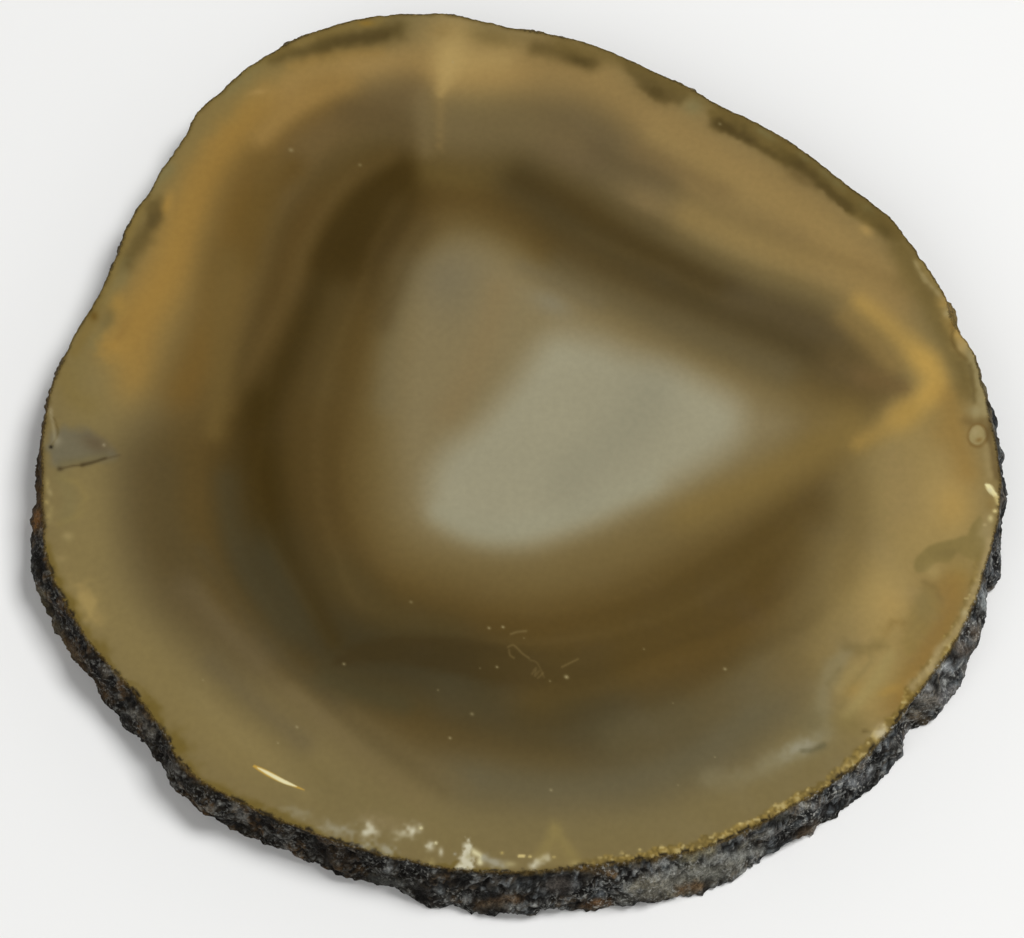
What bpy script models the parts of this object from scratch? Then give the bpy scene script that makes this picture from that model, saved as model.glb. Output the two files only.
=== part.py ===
"""A slice of banded agate: one slab sawn flat from a nodule, with its rough bark left on all round.

Metres, +Z up. The slab lies on its sawn underside at z = 0, its polished face is at z = THICKNESS,
and the origin is the middle of the underside's box. Angles run from +X towards +Y, and the viewer
of the polished face stands on the -Y side, where the bark flares out below the face.
"""
import math
import random

import bmesh
import bpy
from mathutils import Vector, noise

MM = 0.001

# Driving dimensions of the slab
THICKNESS = 8.0 * MM
OUTLINE_SCALE = 1.0 * MM
# Outline of the polished face, as its radius in mm at equal steps of angle from +X
FACE_RADII = (
    64.0, 62.9, 61.5, 60.5, 58.7, 57.9, 57.4, 58.5, 60.8, 62.6, 66.3, 68.4,
    68.9, 67.3, 64.4, 62.8, 61.2, 62.9, 64.7, 65.4, 66.6, 66.1, 64.9, 67.1,
    66.3, 65.6, 65.7, 65.5, 65.1, 66.3, 66.4, 66.8, 66.3, 66.2, 66.1, 65.7,
)
# How far the underside reaches past the face, in mm at equal steps of angle from +X
FLARES = (
    1.6, 0.5, 0.4, 0.6, 1.2, 1.5, 1.6, 1.7, 1.5, 1.2, 0.5, 0.5,
    1.2, 3.1, 2.5, 2.2, 0.6, 1.6, 2.7, 3.8, 2.0, 2.3, 2.5, 1.5,
)
FLARE_CURVE = 0.8
BELLY = 0.5 * MM

# Relief of the bark
LUMP_SIZE = 9.0 * MM
LUMP_HEIGHT = 1.3 * MM
KNOB_SIZE = 3.6 * MM
KNOB_HEIGHT = 0.8 * MM
LEDGE_HEIGHT = 5.4 * MM
LEDGE_DEPTH = 0.55 * MM
LEDGE_SOFTNESS = 0.5 * MM
LEDGE_WANDER = 1.3 * MM
LEDGE_LENGTH = 17.0 * MM
FACE_EDGE_RELIEF = 0.16
RELIEF_FADE = 0.35
NOTCH_FADE = 0.6

# Hollows in the bark: seeded pits, and the larger broken places
PIT_SEED = 11
PIT_COUNT = 84
PIT_RADII = (1.2 * MM, 2.4 * MM)
PIT_DEPTHS = (0.5 * MM, 1.0 * MM)
# Broken places: angle, half width in degrees, depth, and the share of it that nicks the face.
# A depth below zero leaves a knob standing.
NOTCHES = (
    (13.0, 5.0, 1.3 * MM, 0.8),
    (38.0, 3.0, 1.1 * MM, 0.2),
    (93.0, 4.5, 1.2 * MM, 0.1),
    (133.5, 4.0, -0.6 * MM, 1.0),
    (146.0, 3.5, 1.3 * MM, 0.3),
    (188.5, 5.0, 1.1 * MM, 0.0),
    (204.5, 5.5, 1.3 * MM, 0.0),
    (225.5, 2.6, 0.6 * MM, 1.0),
    (239.3, 1.8, 0.5 * MM, 0.0),
    (248.0, 5.0, -0.9 * MM, 0.2),
    (257.0, 3.5, 0.9 * MM, 0.1),
    (289.0, 3.5, -0.5 * MM, 0.0),
    (297.0, 2.8, 0.6 * MM, 0.0),
    (303.0, 2.4, -0.6 * MM, 0.0),
    (306.5, 2.8, 0.8 * MM, 0.0),
    (311.5, 2.4, 0.6 * MM, 0.0),
    (320.0, 3.2, 2.2 * MM, 0.0),
    (338.8, 3.6, 1.7 * MM, 0.1),
)

# How finely the bark is faceted
SEGMENTS = 400
ROWS = 10

AGATE_COLOUR = (0.19, 0.13, 0.055, 1.0)
AGATE_ROUGHNESS = 0.12


def smooth(share):
    """A soft step from 0 to 1."""
    share = min(1.0, max(0.0, share))
    return share * share * (3.0 - 2.0 * share)


def round_curve(values, angle):
    """A closed smooth curve through values at equal steps of angle (Catmull-Rom)."""
    count = len(values)
    place = (angle / math.tau) % 1.0 * count
    first = int(place)
    t = place - first
    before, start, end, after = (values[(first + k) % count] for k in (-1, 0, 1, 2))
    slope_in = (end - before) / 2.0
    slope_out = (after - start) / 2.0
    turn = 2.0 * (start - end) + slope_in + slope_out
    bend = 3.0 * (end - start) - 2.0 * slope_in - slope_out
    return ((turn * t + bend) * t + slope_in) * t + start


def angle_between(first, second):
    """The smaller angle between two directions, in radians."""
    return abs((first - second + math.pi) % math.tau - math.pi)


def make_pits():
    """Seeded pits in the bark: angle, height, radius and depth of each."""
    draw = random.Random(PIT_SEED)
    pits = []
    for number in range(PIT_COUNT):
        angle = math.tau * (number + draw.uniform(-0.4, 0.4)) / PIT_COUNT
        height = draw.uniform(-0.05, 0.78) * THICKNESS
        pits.append((angle, height, draw.uniform(*PIT_RADII), draw.uniform(*PIT_DEPTHS)))
    return pits


def pit_depth(pits, angle, height, radius):
    """How deep the deepest pit is at one place on the bark."""
    deepest = 0.0
    for pit_angle, pit_height, pit_radius, depth in pits:
        along = angle_between(angle, pit_angle) * radius
        away = math.hypot(along, height - pit_height) / pit_radius
        if away < 1.0:
            deepest = max(deepest, depth * smooth(1.5 * (1.0 - away)))
    return deepest


def notch_depth(angle, below):
    """Depth of the broken places, which are shallower towards the polished face."""
    depth = 0.0
    for degrees, half_width, deepest, at_face in NOTCHES:
        away = angle_between(angle, math.radians(degrees)) / math.radians(half_width)
        fade = at_face + (1.0 - at_face) * smooth(below / NOTCH_FADE)
        depth += deepest * smooth(1.0 - away) * fade
    return depth


def ledge_depth(angle, height, place):
    """A ragged ledge: below a wandering line, the dark bark lies back from the agate's rim."""
    wander = LEDGE_WANDER * noise.noise(place / LEDGE_LENGTH + Vector((7.0, 1.0, 4.0)))
    strength = smooth(0.5 + 1.4 * noise.noise(place / LEDGE_LENGTH))
    step = smooth((LEDGE_HEIGHT + wander - height) / LEDGE_SOFTNESS)
    recovery = smooth((LEDGE_HEIGHT + wander - height) / (0.6 * THICKNESS))
    return LEDGE_DEPTH * strength * step * (1.0 - recovery)


def bark_radius(pits, angle, height):
    """Distance from the slab's axis to the bark at an angle and a height above the underside."""
    below = max(0.0, 1.0 - height / THICKNESS)
    radius = OUTLINE_SCALE * round_curve(FACE_RADII, angle)
    radius += OUTLINE_SCALE * round_curve(FLARES, angle) * below ** FLARE_CURVE
    radius += BELLY * math.sin(math.pi * below)
    place = Vector((math.cos(angle) * radius, math.sin(angle) * radius, height))

    relief = LUMP_HEIGHT * noise.fractal(place / LUMP_SIZE, 0.8, 2.0, 3)
    nearest = noise.voronoi(place / KNOB_SIZE)[0][0]
    relief += KNOB_HEIGHT * (0.5 - min(1.0, nearest) ** 2)
    strength = FACE_EDGE_RELIEF + (1.0 - FACE_EDGE_RELIEF) * smooth(below / RELIEF_FADE)
    radius += relief * strength

    radius -= pit_depth(pits, angle, height, radius)
    radius -= ledge_depth(angle, height, place)
    radius -= notch_depth(angle, below)
    return radius


def make_slab_mesh():
    """A plain drum, ringed with rows of vertices that are then moved out to the bark."""
    bm = bmesh.new()
    bmesh.ops.create_cone(
        bm, cap_ends=True, segments=SEGMENTS, radius1=1.0, radius2=1.0, depth=THICKNESS)
    upright = [e for e in bm.edges if abs(e.verts[0].co.z - e.verts[1].co.z) > THICKNESS / 2]
    bmesh.ops.subdivide_edges(bm, edges=upright, cuts=ROWS - 1, use_grid_fill=True)
    bmesh.ops.translate(bm, verts=bm.verts, vec=(0.0, 0.0, THICKNESS / 2))

    pits = make_pits()
    for vertex in bm.verts:
        angle = math.atan2(vertex.co.y, vertex.co.x)
        radius = bark_radius(pits, angle, vertex.co.z)
        vertex.co.x = math.cos(angle) * radius
        vertex.co.y = math.sin(angle) * radius

    low = Vector([min(v.co[axis] for v in bm.verts) for axis in range(3)])
    high = Vector([max(v.co[axis] for v in bm.verts) for axis in range(3)])
    middle = (low + high) / 2
    bmesh.ops.translate(bm, verts=bm.verts, vec=(-middle.x, -middle.y, -low.z))
    bmesh.ops.triangulate(bm, faces=bm.faces, quad_method='SHORT_EDGE', ngon_method='BEAUTY')
    bmesh.ops.recalc_face_normals(bm, faces=bm.faces)

    mesh = bpy.data.meshes.new("agate_slice")
    bm.to_mesh(mesh)
    bm.free()
    return mesh


def make_agate_material():
    """Brown chalcedony with a polish."""
    material = bpy.data.materials.new("agate")
    material.use_nodes = True
    shader = material.node_tree.nodes["Principled BSDF"]
    shader.inputs["Base Color"].default_value = AGATE_COLOUR
    shader.inputs["Roughness"].default_value = AGATE_ROUGHNESS
    shader.inputs["Metallic"].default_value = 0.0
    return material


def main():
    for item in list(bpy.data.objects):
        bpy.data.objects.remove(item)
    collection = bpy.data.collections.new("agate_slice")
    bpy.context.scene.collection.children.link(collection)

    slab = bpy.data.objects.new("agate_slice", make_slab_mesh())
    slab.data.materials.append(make_agate_material())
    slab.data.shade_smooth()
    slab.data.set_sharp_from_angle(angle=math.radians(40))
    collection.objects.link(slab)


main()
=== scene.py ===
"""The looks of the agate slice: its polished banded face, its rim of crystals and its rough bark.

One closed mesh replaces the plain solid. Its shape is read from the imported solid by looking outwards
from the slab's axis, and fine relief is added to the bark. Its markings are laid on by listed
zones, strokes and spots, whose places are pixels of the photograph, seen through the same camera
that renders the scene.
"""

import math
from collections import namedtuple

import bmesh
import bpy
import numpy as np
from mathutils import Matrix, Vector, noise
from mathutils.bvhtree import BVHTree
from mathutils.geometry import delaunay_2d_cdt

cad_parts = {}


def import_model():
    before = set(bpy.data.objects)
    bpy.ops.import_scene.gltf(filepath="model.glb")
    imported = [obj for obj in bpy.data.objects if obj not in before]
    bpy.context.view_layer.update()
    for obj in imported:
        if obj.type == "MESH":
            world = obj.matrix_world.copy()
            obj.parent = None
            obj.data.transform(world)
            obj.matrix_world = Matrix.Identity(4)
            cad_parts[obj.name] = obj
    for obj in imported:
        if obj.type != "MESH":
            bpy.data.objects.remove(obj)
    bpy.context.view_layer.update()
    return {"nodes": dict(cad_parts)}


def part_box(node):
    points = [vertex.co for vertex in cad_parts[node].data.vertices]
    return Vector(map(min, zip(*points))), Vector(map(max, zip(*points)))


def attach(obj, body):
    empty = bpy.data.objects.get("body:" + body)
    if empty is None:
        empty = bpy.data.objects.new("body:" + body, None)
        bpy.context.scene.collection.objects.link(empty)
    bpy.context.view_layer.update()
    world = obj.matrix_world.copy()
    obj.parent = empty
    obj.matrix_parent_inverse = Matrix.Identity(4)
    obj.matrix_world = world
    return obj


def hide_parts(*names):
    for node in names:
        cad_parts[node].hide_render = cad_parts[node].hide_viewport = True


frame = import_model()

MM = 0.001
NODE = "agate_slice"
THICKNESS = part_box(NODE)[1].z

# The photograph's camera, over the -Y side of the slab
IMAGE_WIDTH, IMAGE_HEIGHT = 1024, 938
SENSOR = 36.0
LENS = 109.3
ELEVATION = math.radians(64.0)
DISTANCE = 420 * MM
AIM_X, AIM_Y = -1.0 * MM, -7.5 * MM
CLIP_START, CLIP_END = 0.01, 20.0

# The fine mesh
RIM_POINTS = 1440
ANGLES = np.linspace(0.0, math.tau, RIM_POINTS, endpoint=False)
BARK_ROWS = 24
RIM_BAND = 5.0 * MM
RIM_SPACING = 0.31 * MM
FACE_SPACING = 1.0 * MM
UNDERSIDE_SPACING = 2.4 * MM
EDGE_INSET = 0.3 * MM
RIM_CLEARANCE = EDGE_INSET + 0.6 * RIM_SPACING
EDGE_CLEARANCE = 1.5 * EDGE_INSET
READING_INSET = 0.02 * MM
MERGE_DISTANCE = 1e-7
# The bark that is read is evened out along the slab: width and reach of that, in points
RING_SOFTNESS, RING_REACH = 2, 4
# Which material each part of the mesh has
POLISHED_LOOK, BARK_LOOK, SAWN_LOOK = 0, 1, 2

# Fine relief of the bark: sizes of its features, and their heights in mm
LUMP_SIZE, LUMP_HEIGHT = 2.4 * MM, 0.15
GRAIN_SIZE, GRAIN_HEIGHT = 1.1 * MM, 0.24
FINE_GRAIN_SIZE, FINE_GRAIN_HEIGHT = 0.62 * MM, 0.18
HOLLOW_SIZE, HOLLOW_DEPTH = 1.5 * MM, 0.36
RAGGED_SIZES, RAGGED_HEIGHTS = (0.9 * MM, 3.0 * MM), (0.13, 0.1)
WORN_SIZE, WORN_LEAST, WORN_MORE = 2.5 * MM, 0.02, 0.16
# The relief's share at the polished face, and the share of the height over which it grows to full
RELIEF_AT_FACE, RELIEF_FADE = 0.1, 0.2

# Where small markings lie: pixel of the middle, half sizes in mm, spacing of the mesh in mm
FINE_PLACES = [
    ((974, 430), (4.0, 9.5), 0.26),
    ((989, 505), (3.0, 5.5), 0.24),
    ((535, 652), (7.5, 4.6), 0.17),
    # the place of the painted glint
    ((278, 778), (4.6, 2.4), 0.12),
    ((450, 848), (17.0, 4.6), 0.22),
    ((84, 447), (6.2, 4.6), 0.26),
    ((822, 705), (9.0, 9.0), 0.36),
    ((944, 560), (6.5, 4.2), 0.3),
]
SPECK_PLACE = ((0.9, 0.9), 0.2)

# How marks are laid: steps between two points of a curve, how many widths a soft mark reaches, and
# the room in pixels round a zone
CURVE_STEPS = 6
FADE_REACH = 2.4
ZONE_MARGIN = 20
# The seeded grid of random values: where it starts, and the numbers that scatter its corners
GRID_START = 1000.0
ACROSS_STEP, DOWN_STEP, SHIFT_STEP, SCATTER = 374761393, 668265263, 144665, 1274126177

# Three kinds of marks. Places and sizes are pixels of the photograph, colours are screen values from
# 0 to 255, strengths run from 0 to 1 and turns are degrees. Rough is how far an outline wavers, and
# grain is the size of its wavers.
Zone = namedtuple("Zone", "ring soft colour strength rough grain", defaults=(1.0, 0.0, 8))
Stroke = namedtuple("Stroke", "path width colour strength end_width rough grain",
                    defaults=(1.0, None, 0.0, 6))
Spot = namedtuple("Spot", "middle half colour strength turn rough grain", defaults=(1.0, 0.0, 0.0, 5))

# Colours of the stone, as they look in the photograph
# Amber of the stone, with painted glow of light shining through the thin edge
AMBER_WITH_GLOW = (150, 118, 58)
AMBER_BROWN = (128, 100, 50)
GOLD = (154, 126, 74)
TOP_GLOW = (172, 146, 90)
BRIGHT_AMBER = (184, 148, 74)
TAN = (140, 116, 70)
# Pale gold, with painted glow of light shining through the thin edge at the right
PALE_GOLD_WITH_GLOW = (158, 134, 80)
RIM_OLIVE = (122, 102, 52)
OLIVE = (120, 105, 67)
SAND = (128, 112, 70)
FRONT_OLIVE = (119, 105, 67)
SMOKE = (100, 86, 54)
WARM_SMOKE = (112, 86, 39)
GREY_SMOKE = (102, 87, 59)
LEFT_GREY = (92, 78, 48)
LOW_GREY = (98, 90, 65)
BROWN = (88, 69, 32)
LIGHT_LINE = (116, 96, 56)
DARK_LINE = (62, 49, 22)
TAUPE = (104, 86, 54)
RIM_HAZE = (124, 108, 64)
BARK_BROWN = (92, 70, 32)
DARK = (66, 51, 20)
DARKEST = (57, 43, 10)
DARK_OLIVE = (66, 59, 38)
COLD_BROWN = (73, 61, 34)
COLD_GREY = (84, 72, 48)
UMBER = (83, 66, 30)
HONEY_BROWN = (122, 101, 54)
HALO = (111, 94, 56)
KHAKI_BROWN = (128, 114, 80)
KHAKI_TAN = (130, 112, 76)
KHAKI = (150, 144, 118)
KHAKI_GREY = (140, 135, 111)
UPPER_BLOB = (116, 106, 80)
SPOT_OLIVE = (80, 66, 32)
STREAK_OLIVE = (76, 62, 30)
SOFT_OLIVE = (103, 86, 44)
GREEN_GREY = (120, 112, 74)
WEDGE_GREY = (104, 100, 84)
WEDGE_BROWN = (96, 82, 58)
INCLUSION = (124, 108, 62)
INCLUSION_DARK = (112, 96, 54)
STAIN = (108, 91, 42)
WHITE_CRYSTAL = (208, 204, 180)
GREY_CRYSTAL = (158, 154, 134)
# Cream of the crystals and of the painted glint, then the gold of the painted glint's ends
CREAM_AND_GLINT = (222, 214, 170)
GLINT_GOLD = (190, 152, 66)
CRUST = (146, 124, 66)
CRUST_PALE = (174, 156, 102)
CRUST_OLIVE = (104, 86, 38)
WISP = (134, 126, 96)
SCRATCH = (106, 89, 52)
DUST = (168, 156, 116)
# Colours of the bark
BARK_BLACK = (34, 28, 19)
BARK_SLATE = (54, 55, 54)
BARK_STONE = (86, 90, 92)
BARK_RUST = (92, 70, 44)
BARK_INK = (34, 37, 38)
BARK_TAN = (116, 106, 94)
BARK_GREY = (111, 116, 118)
BARK_PALE = (156, 156, 150)
# Near black: dark spots of the bark, and painted shade in its hollows
BARK_DARK_AND_PIT_SHADE = (14, 12, 10)
STAIN_BROWN = (84, 66, 28)
RIM_SHADE = (92, 76, 38)

# The contours of the broad bands, clockwise from the top
MID_BAND = [
    (440, 112), (400, 88), (355, 100), (315, 124), (275, 152), (240, 190), (222, 240), (208, 300),
    (190, 355), (158, 400), (130, 440), (122, 490), (128, 550), (160, 610), (210, 655), (272, 695),
    (330, 728), (392, 768), (470, 795), (560, 802), (650, 792), (725, 765), (782, 715), (808, 650),
    (826, 600), (840, 550), (838, 500), (842, 452), (872, 418), (900, 390), (886, 352), (850, 318),
    (800, 292), (745, 272), (690, 238), (650, 180), (605, 122), (540, 104), (485, 116)]
INNER_BAND = [
    (404, 148), (350, 154), (304, 178), (277, 222), (258, 300), (236, 370), (198, 412), (162, 450),
    (155, 505), (170, 560), (205, 605), (258, 640), (310, 680), (365, 712), (430, 740), (500, 755),
    (570, 760), (640, 745), (700, 715), (745, 675), (780, 630), (806, 575), (812, 525), (822, 480),
    (842, 445), (868, 408), (880, 385), (852, 356), (812, 328), (755, 310), (700, 290), (640, 246),
    (590, 204), (545, 178), (490, 166), (440, 158)]
CORE_HALO = [
    (455, 222), (418, 252), (388, 315), (364, 400), (358, 480), (376, 545), (424, 580), (520, 600),
    (610, 584), (690, 548), (752, 510), (806, 468), (850, 436), (846, 408), (796, 376), (735, 348),
    (662, 320), (604, 296), (552, 272), (508, 236)]
CORE = [
    (458, 246), (422, 280), (402, 340), (394, 400), (396, 460), (406, 518), (448, 546), (520, 554),
    (588, 538), (650, 512), (714, 480), (772, 448), (792, 422), (760, 396), (700, 364), (640, 334),
    (592, 306), (548, 284), (502, 252)]
BRIGHT_CORE = [
    (548, 338), (512, 384), (478, 424), (442, 454), (430, 492), (452, 526), (512, 542), (572, 527),
    (625, 503), (685, 476), (736, 440), (736, 404), (690, 376), (636, 358), (592, 340)]

# Dust on the polish: place, size in pixels and strength
DUST_SPECKS = [
    ((489, 628), 2.0, 0.8), ((503, 627), 2.0, 0.95), ((497, 667), 1.8, 0.8), ((566.5, 677), 2.8, 1.0),
    ((550, 681), 1.6, 0.5), ((480, 668), 1.3, 0.4), ((524, 638), 1.3, 0.4), ((411, 602), 2.2, 0.5),
    ((438, 690), 1.5, 0.5), ((472, 714), 2.4, 0.6), ((450, 738), 2.0, 0.8), ((551, 790), 2.0, 0.7),
    ((644, 649), 1.5, 0.5), ((725, 669), 2.2, 0.8), ((715, 757), 1.4, 0.5), ((344, 664), 2.0, 0.8),
    ((297, 727), 2.0, 0.7), ((278, 743), 1.6, 0.6), ((203, 680), 1.6, 0.4), ((291, 150), 3.2, 0.55),
    ((360, 165), 2.4, 0.45), ((453, 62), 1.4, 0.6), ((720, 124), 2.0, 0.5), ((678, 785), 1.3, 0.4),
    ((673, 703), 1.3, 0.4)]
# The brightest grains of the crust: pale grains with painted glints of light on them
BRIGHT_GRAINS_AND_GLINTS = [
    (826, 786), (852, 760), (848, 765), (798, 800), (808, 790), (728, 834), (768, 812), (877, 744),
    (740, 824), (700, 847), (622, 853), (640, 850), (662, 847), (600, 858)]

# Broad colours just inside the rim, some with painted glow where light shines through the thin edge
RIM_COLOURS = [
    # The stone's amber at the upper left, brightened by painted glow of light shining through the thin
    # edge
    Stroke([(330, 78), (262, 108), (222, 150), (188, 215), (170, 270), (140, 320), (125, 370)], 36,
        AMBER_WITH_GLOW),
    Stroke([(300, 92), (345, 72), (400, 70), (470, 70), (530, 76), (590, 92)], 34, GOLD, 0.95),
    Stroke([(560, 85), (640, 118), (720, 165), (790, 205), (850, 255), (890, 290)], 42, TAN),
    Stroke([(90, 380), (84, 440), (92, 500), (90, 540)], 34, SAND, 0.9),
    Stroke([(76, 566), (116, 626), (170, 692), (230, 742), (295, 784)], 30, SAND),
    Stroke([(300, 790), (420, 825), (600, 832), (720, 815), (800, 770), (850, 715)], 34, FRONT_OLIVE,
        0.9),
    # Pale gold at the right: the stone's colour with painted glow of light through the thin edge
    Spot((930, 500), (62, 100), PALE_GOLD_WITH_GLOW, 0.9),
    Stroke([(900, 470), (905, 505)], 22, (140, 120, 76), 0.6),
    Stroke([(880, 590), (882, 640), (872, 700)], 36, PALE_GOLD_WITH_GLOW, 0.8),
    Stroke([(940, 590), (922, 650), (896, 700)], 22, AMBER_BROWN, 0.5),
]
# The smoky and dark bands, from the rim inwards
BANDS = [
    Zone(MID_BAND, 30, SMOKE),
    Stroke([(330, 112), (258, 175), (232, 250), (216, 320), (190, 390)], 32, WARM_SMOKE, 0.95),
    Spot((582, 142), (50, 34), (98, 84, 57), 0.85, 25),
    Spot((566, 144), (32, 22), (94, 76, 52), 0.5, 25),
    Spot((650, 172), (50, 28), GREY_SMOKE, 0.7, 30),
    Stroke([(150, 470), (160, 540), (200, 600), (250, 640)], 36, LEFT_GREY, 0.7),
    Stroke([(480, 770), (560, 778), (650, 772), (720, 738), (770, 700)], 36, LOW_GREY, 0.85),
    Zone(INNER_BAND, 34, BROWN),
    Stroke([(310, 215), (285, 280), (272, 340)], 22, BARK_BROWN, 0.6),
    Stroke([(240, 470), (240, 520), (262, 575)], 26, COLD_BROWN, 0.6),
    Stroke([(410, 92), (360, 112), (310, 140), (280, 180)], 24, TAUPE, 0.7),
    Stroke([(166, 470), (170, 520), (190, 575)], 24, (84, 72, 44), 0.6),
    Stroke([(392, 182), (372, 205), (350, 238), (324, 288), (298, 342), (268, 390), (258, 425),
        (262, 480), (273, 528), (290, 578), (325, 625), (385, 652), (455, 668), (530, 690)], 38, DARK,
        0.88),
    Stroke([(394, 184), (372, 215), (345, 248)], 22, DARKEST, 0.9),
    Stroke([(404, 172), (368, 208), (338, 252), (313, 310), (287, 365), (262, 415)], 13, DARKEST, 0.45),
    Stroke([(388, 158), (344, 190), (312, 238), (286, 296), (258, 350), (234, 405)], 12, (100, 80, 42),
        0.55),
    Stroke([(398, 176), (366, 195), (341, 220), (322, 260)], 14, (62, 46, 12), 0.6),
    Zone([(413, 166), (398, 176), (370, 196), (342, 224), (318, 262), (338, 284), (372, 270), (398, 240),
        (412, 208)], 9, (64, 48, 15), 0.6),
    Stroke([(292, 168), (268, 192), (252, 222), (244, 258)], 16, (88, 66, 24), 0.6),
    Stroke([(345, 86), (312, 98), (284, 116), (262, 138)], 12, (150, 120, 66), 0.75),
    Stroke([(350, 112), (385, 118), (408, 130)], 18, (92, 75, 44), 0.6),
    Stroke([(422, 96), (424, 130), (426, 152)], 9, (122, 105, 70), 0.5),
    Stroke([(430, 172), (470, 178), (510, 172)], 15, (97, 80, 40), 0.6),
    Spot((648, 203), (28, 15), (128, 108, 70), 0.65, 25),
    Stroke([(640, 150), (680, 168), (722, 190)], 14, (112, 92, 56), 0.5),
    Stroke([(258, 405), (264, 470), (274, 540)], 20, DARKEST, 0.7),
    Stroke([(320, 390), (318, 470), (334, 540), (368, 588)], 24, (78, 62, 30), 0.55),
    Stroke([(338, 300), (326, 350), (322, 385)], 22, (88, 72, 38), 0.6),
    Stroke([(398, 212), (384, 260), (376, 290)], 18, (72, 57, 27), 0.6),
    Stroke([(228, 262), (222, 310), (222, 360), (214, 430)], 22, (106, 86, 44), 0.75, end_width=12),
    Stroke([(268, 168), (250, 225)], 18, (104, 82, 38), 0.5),
    Stroke([(185, 590), (225, 628), (262, 655)], 18, (100, 86, 58), 0.6),
    Stroke([(212, 662), (250, 700), (302, 742)], 13, (99, 87, 60), 0.6),
    Stroke([(190, 692), (246, 742), (306, 796)], 8, (134, 118, 76), 0.4),
    Stroke([(222, 690), (278, 738), (336, 790)], 7, (112, 98, 60), 0.35),
    Stroke([(292, 690), (350, 742), (420, 802)], 8, (120, 104, 68), 0.45),
    Stroke([(316, 690), (372, 738), (444, 792)], 7, (96, 82, 50), 0.35),
    Stroke([(340, 700), (396, 742), (470, 786)], 6, (110, 95, 60), 0.3),
    Stroke([(268, 560), (305, 620), (365, 655), (450, 672), (530, 700), (605, 716)], 36, DARK_OLIVE,
        0.85),
    Stroke([(330, 635), (420, 662), (500, 682)], 22, (62, 53, 30), 0.6),
    Stroke([(450, 700), (530, 724), (600, 732), (670, 716)], 32, (76, 68, 45), 0.6),
    Stroke([(340, 570), (390, 610), (450, 632)], 22, (76, 65, 36), 0.5),
    Stroke([(326, 678), (362, 692), (402, 704)], 14, (70, 66, 44), 0.5),
    Stroke([(226, 482), (232, 530), (250, 578), (288, 630)], 15, (72, 65, 43), 0.5),
    Stroke([(252, 418), (261, 468), (270, 506), (286, 548), (310, 594), (334, 642)], 12, (62, 46, 12),
        0.45),
    Zone([(332, 664), (348, 648), (375, 639), (420, 635), (470, 640), (520, 653), (562, 677), (515, 686),
        (455, 674), (400, 664), (362, 664)], 5, (60, 47, 20), 0.6),
    Stroke([(198, 590), (228, 630), (268, 674), (322, 716)], 9, (112, 98, 68), 0.25),
    Stroke([(200, 548), (236, 604), (284, 660), (340, 704)], 7, (80, 70, 46), 0.4),
    Stroke([(525, 182), (575, 226), (640, 264), (690, 292), (740, 320), (795, 345), (840, 366)], 30,
        COLD_BROWN, 0.88),
    Stroke([(518, 178), (555, 194), (592, 216), (640, 246), (690, 270), (730, 288)], 13, (67, 52, 21),
        0.5),
    Stroke([(560, 262), (620, 290), (690, 322), (760, 352), (825, 376)], 14, (78, 66, 40), 0.35),
    Stroke([(735, 296), (790, 318), (835, 336)], 18, COLD_GREY, 0.6),
    Stroke([(840, 366), (880, 382)], 24, (102, 84, 50), 0.6),
    Stroke([(540, 690), (600, 650), (650, 620), (710, 585), (760, 545), (800, 505)], 38, UMBER, 0.8),
    Stroke([(500, 662), (545, 672), (590, 670)], 24, (75, 61, 31), 0.6),
    Stroke([(620, 738), (690, 716), (760, 672)], 26, (96, 86, 58), 0.6),
    Stroke([(826, 555), (808, 615), (786, 670)], 32, (112, 95, 56), 0.6),
    Stroke([(852, 560), (842, 600), (824, 650)], 22, (138, 118, 70), 0.5),
    Stroke([(852, 478), (856, 530), (846, 575)], 18, (112, 94, 54), 0.55),
    Stroke([(450, 128), (520, 126), (570, 138)], 28, (112, 96, 62), 0.7),
]
# The pale core and its halo
CORE_MARKS = [
    Zone(CORE_HALO, 32, HALO),
    Stroke([(560, 274), (620, 304), (700, 338), (780, 372)], 20, (98, 88, 62), 0.55),
    Stroke([(412, 270), (394, 340), (388, 400)], 18, (112, 102, 74), 0.5),
    Stroke([(690, 505), (750, 482), (810, 452), (850, 428)], 26, HONEY_BROWN, 0.8),
    Zone(CORE, 26, KHAKI_BROWN),
    Spot((450, 280), (36, 38), UPPER_BLOB, 0.8),
    Stroke([(424, 228), (408, 256), (396, 288), (382, 322)], 12, (82, 67, 37), 0.5),
    Spot((552, 303), (22, 12), (126, 120, 99), 0.6, 25),
    Stroke([(522, 266), (556, 282), (596, 304)], 8, (108, 97, 70), 0.5),
    Zone(BRIGHT_CORE, 24, KHAKI),
    Stroke([(440, 512), (480, 530), (530, 528), (590, 508), (650, 482)], 14, (150, 146, 121), 0.7),
    Stroke([(498, 290), (488, 330), (472, 370), (450, 410)], 16, KHAKI_TAN, 0.6),
    Stroke([(650, 395), (620, 440), (570, 482)], 32, KHAKI_GREY, 0.8),
]
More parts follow.
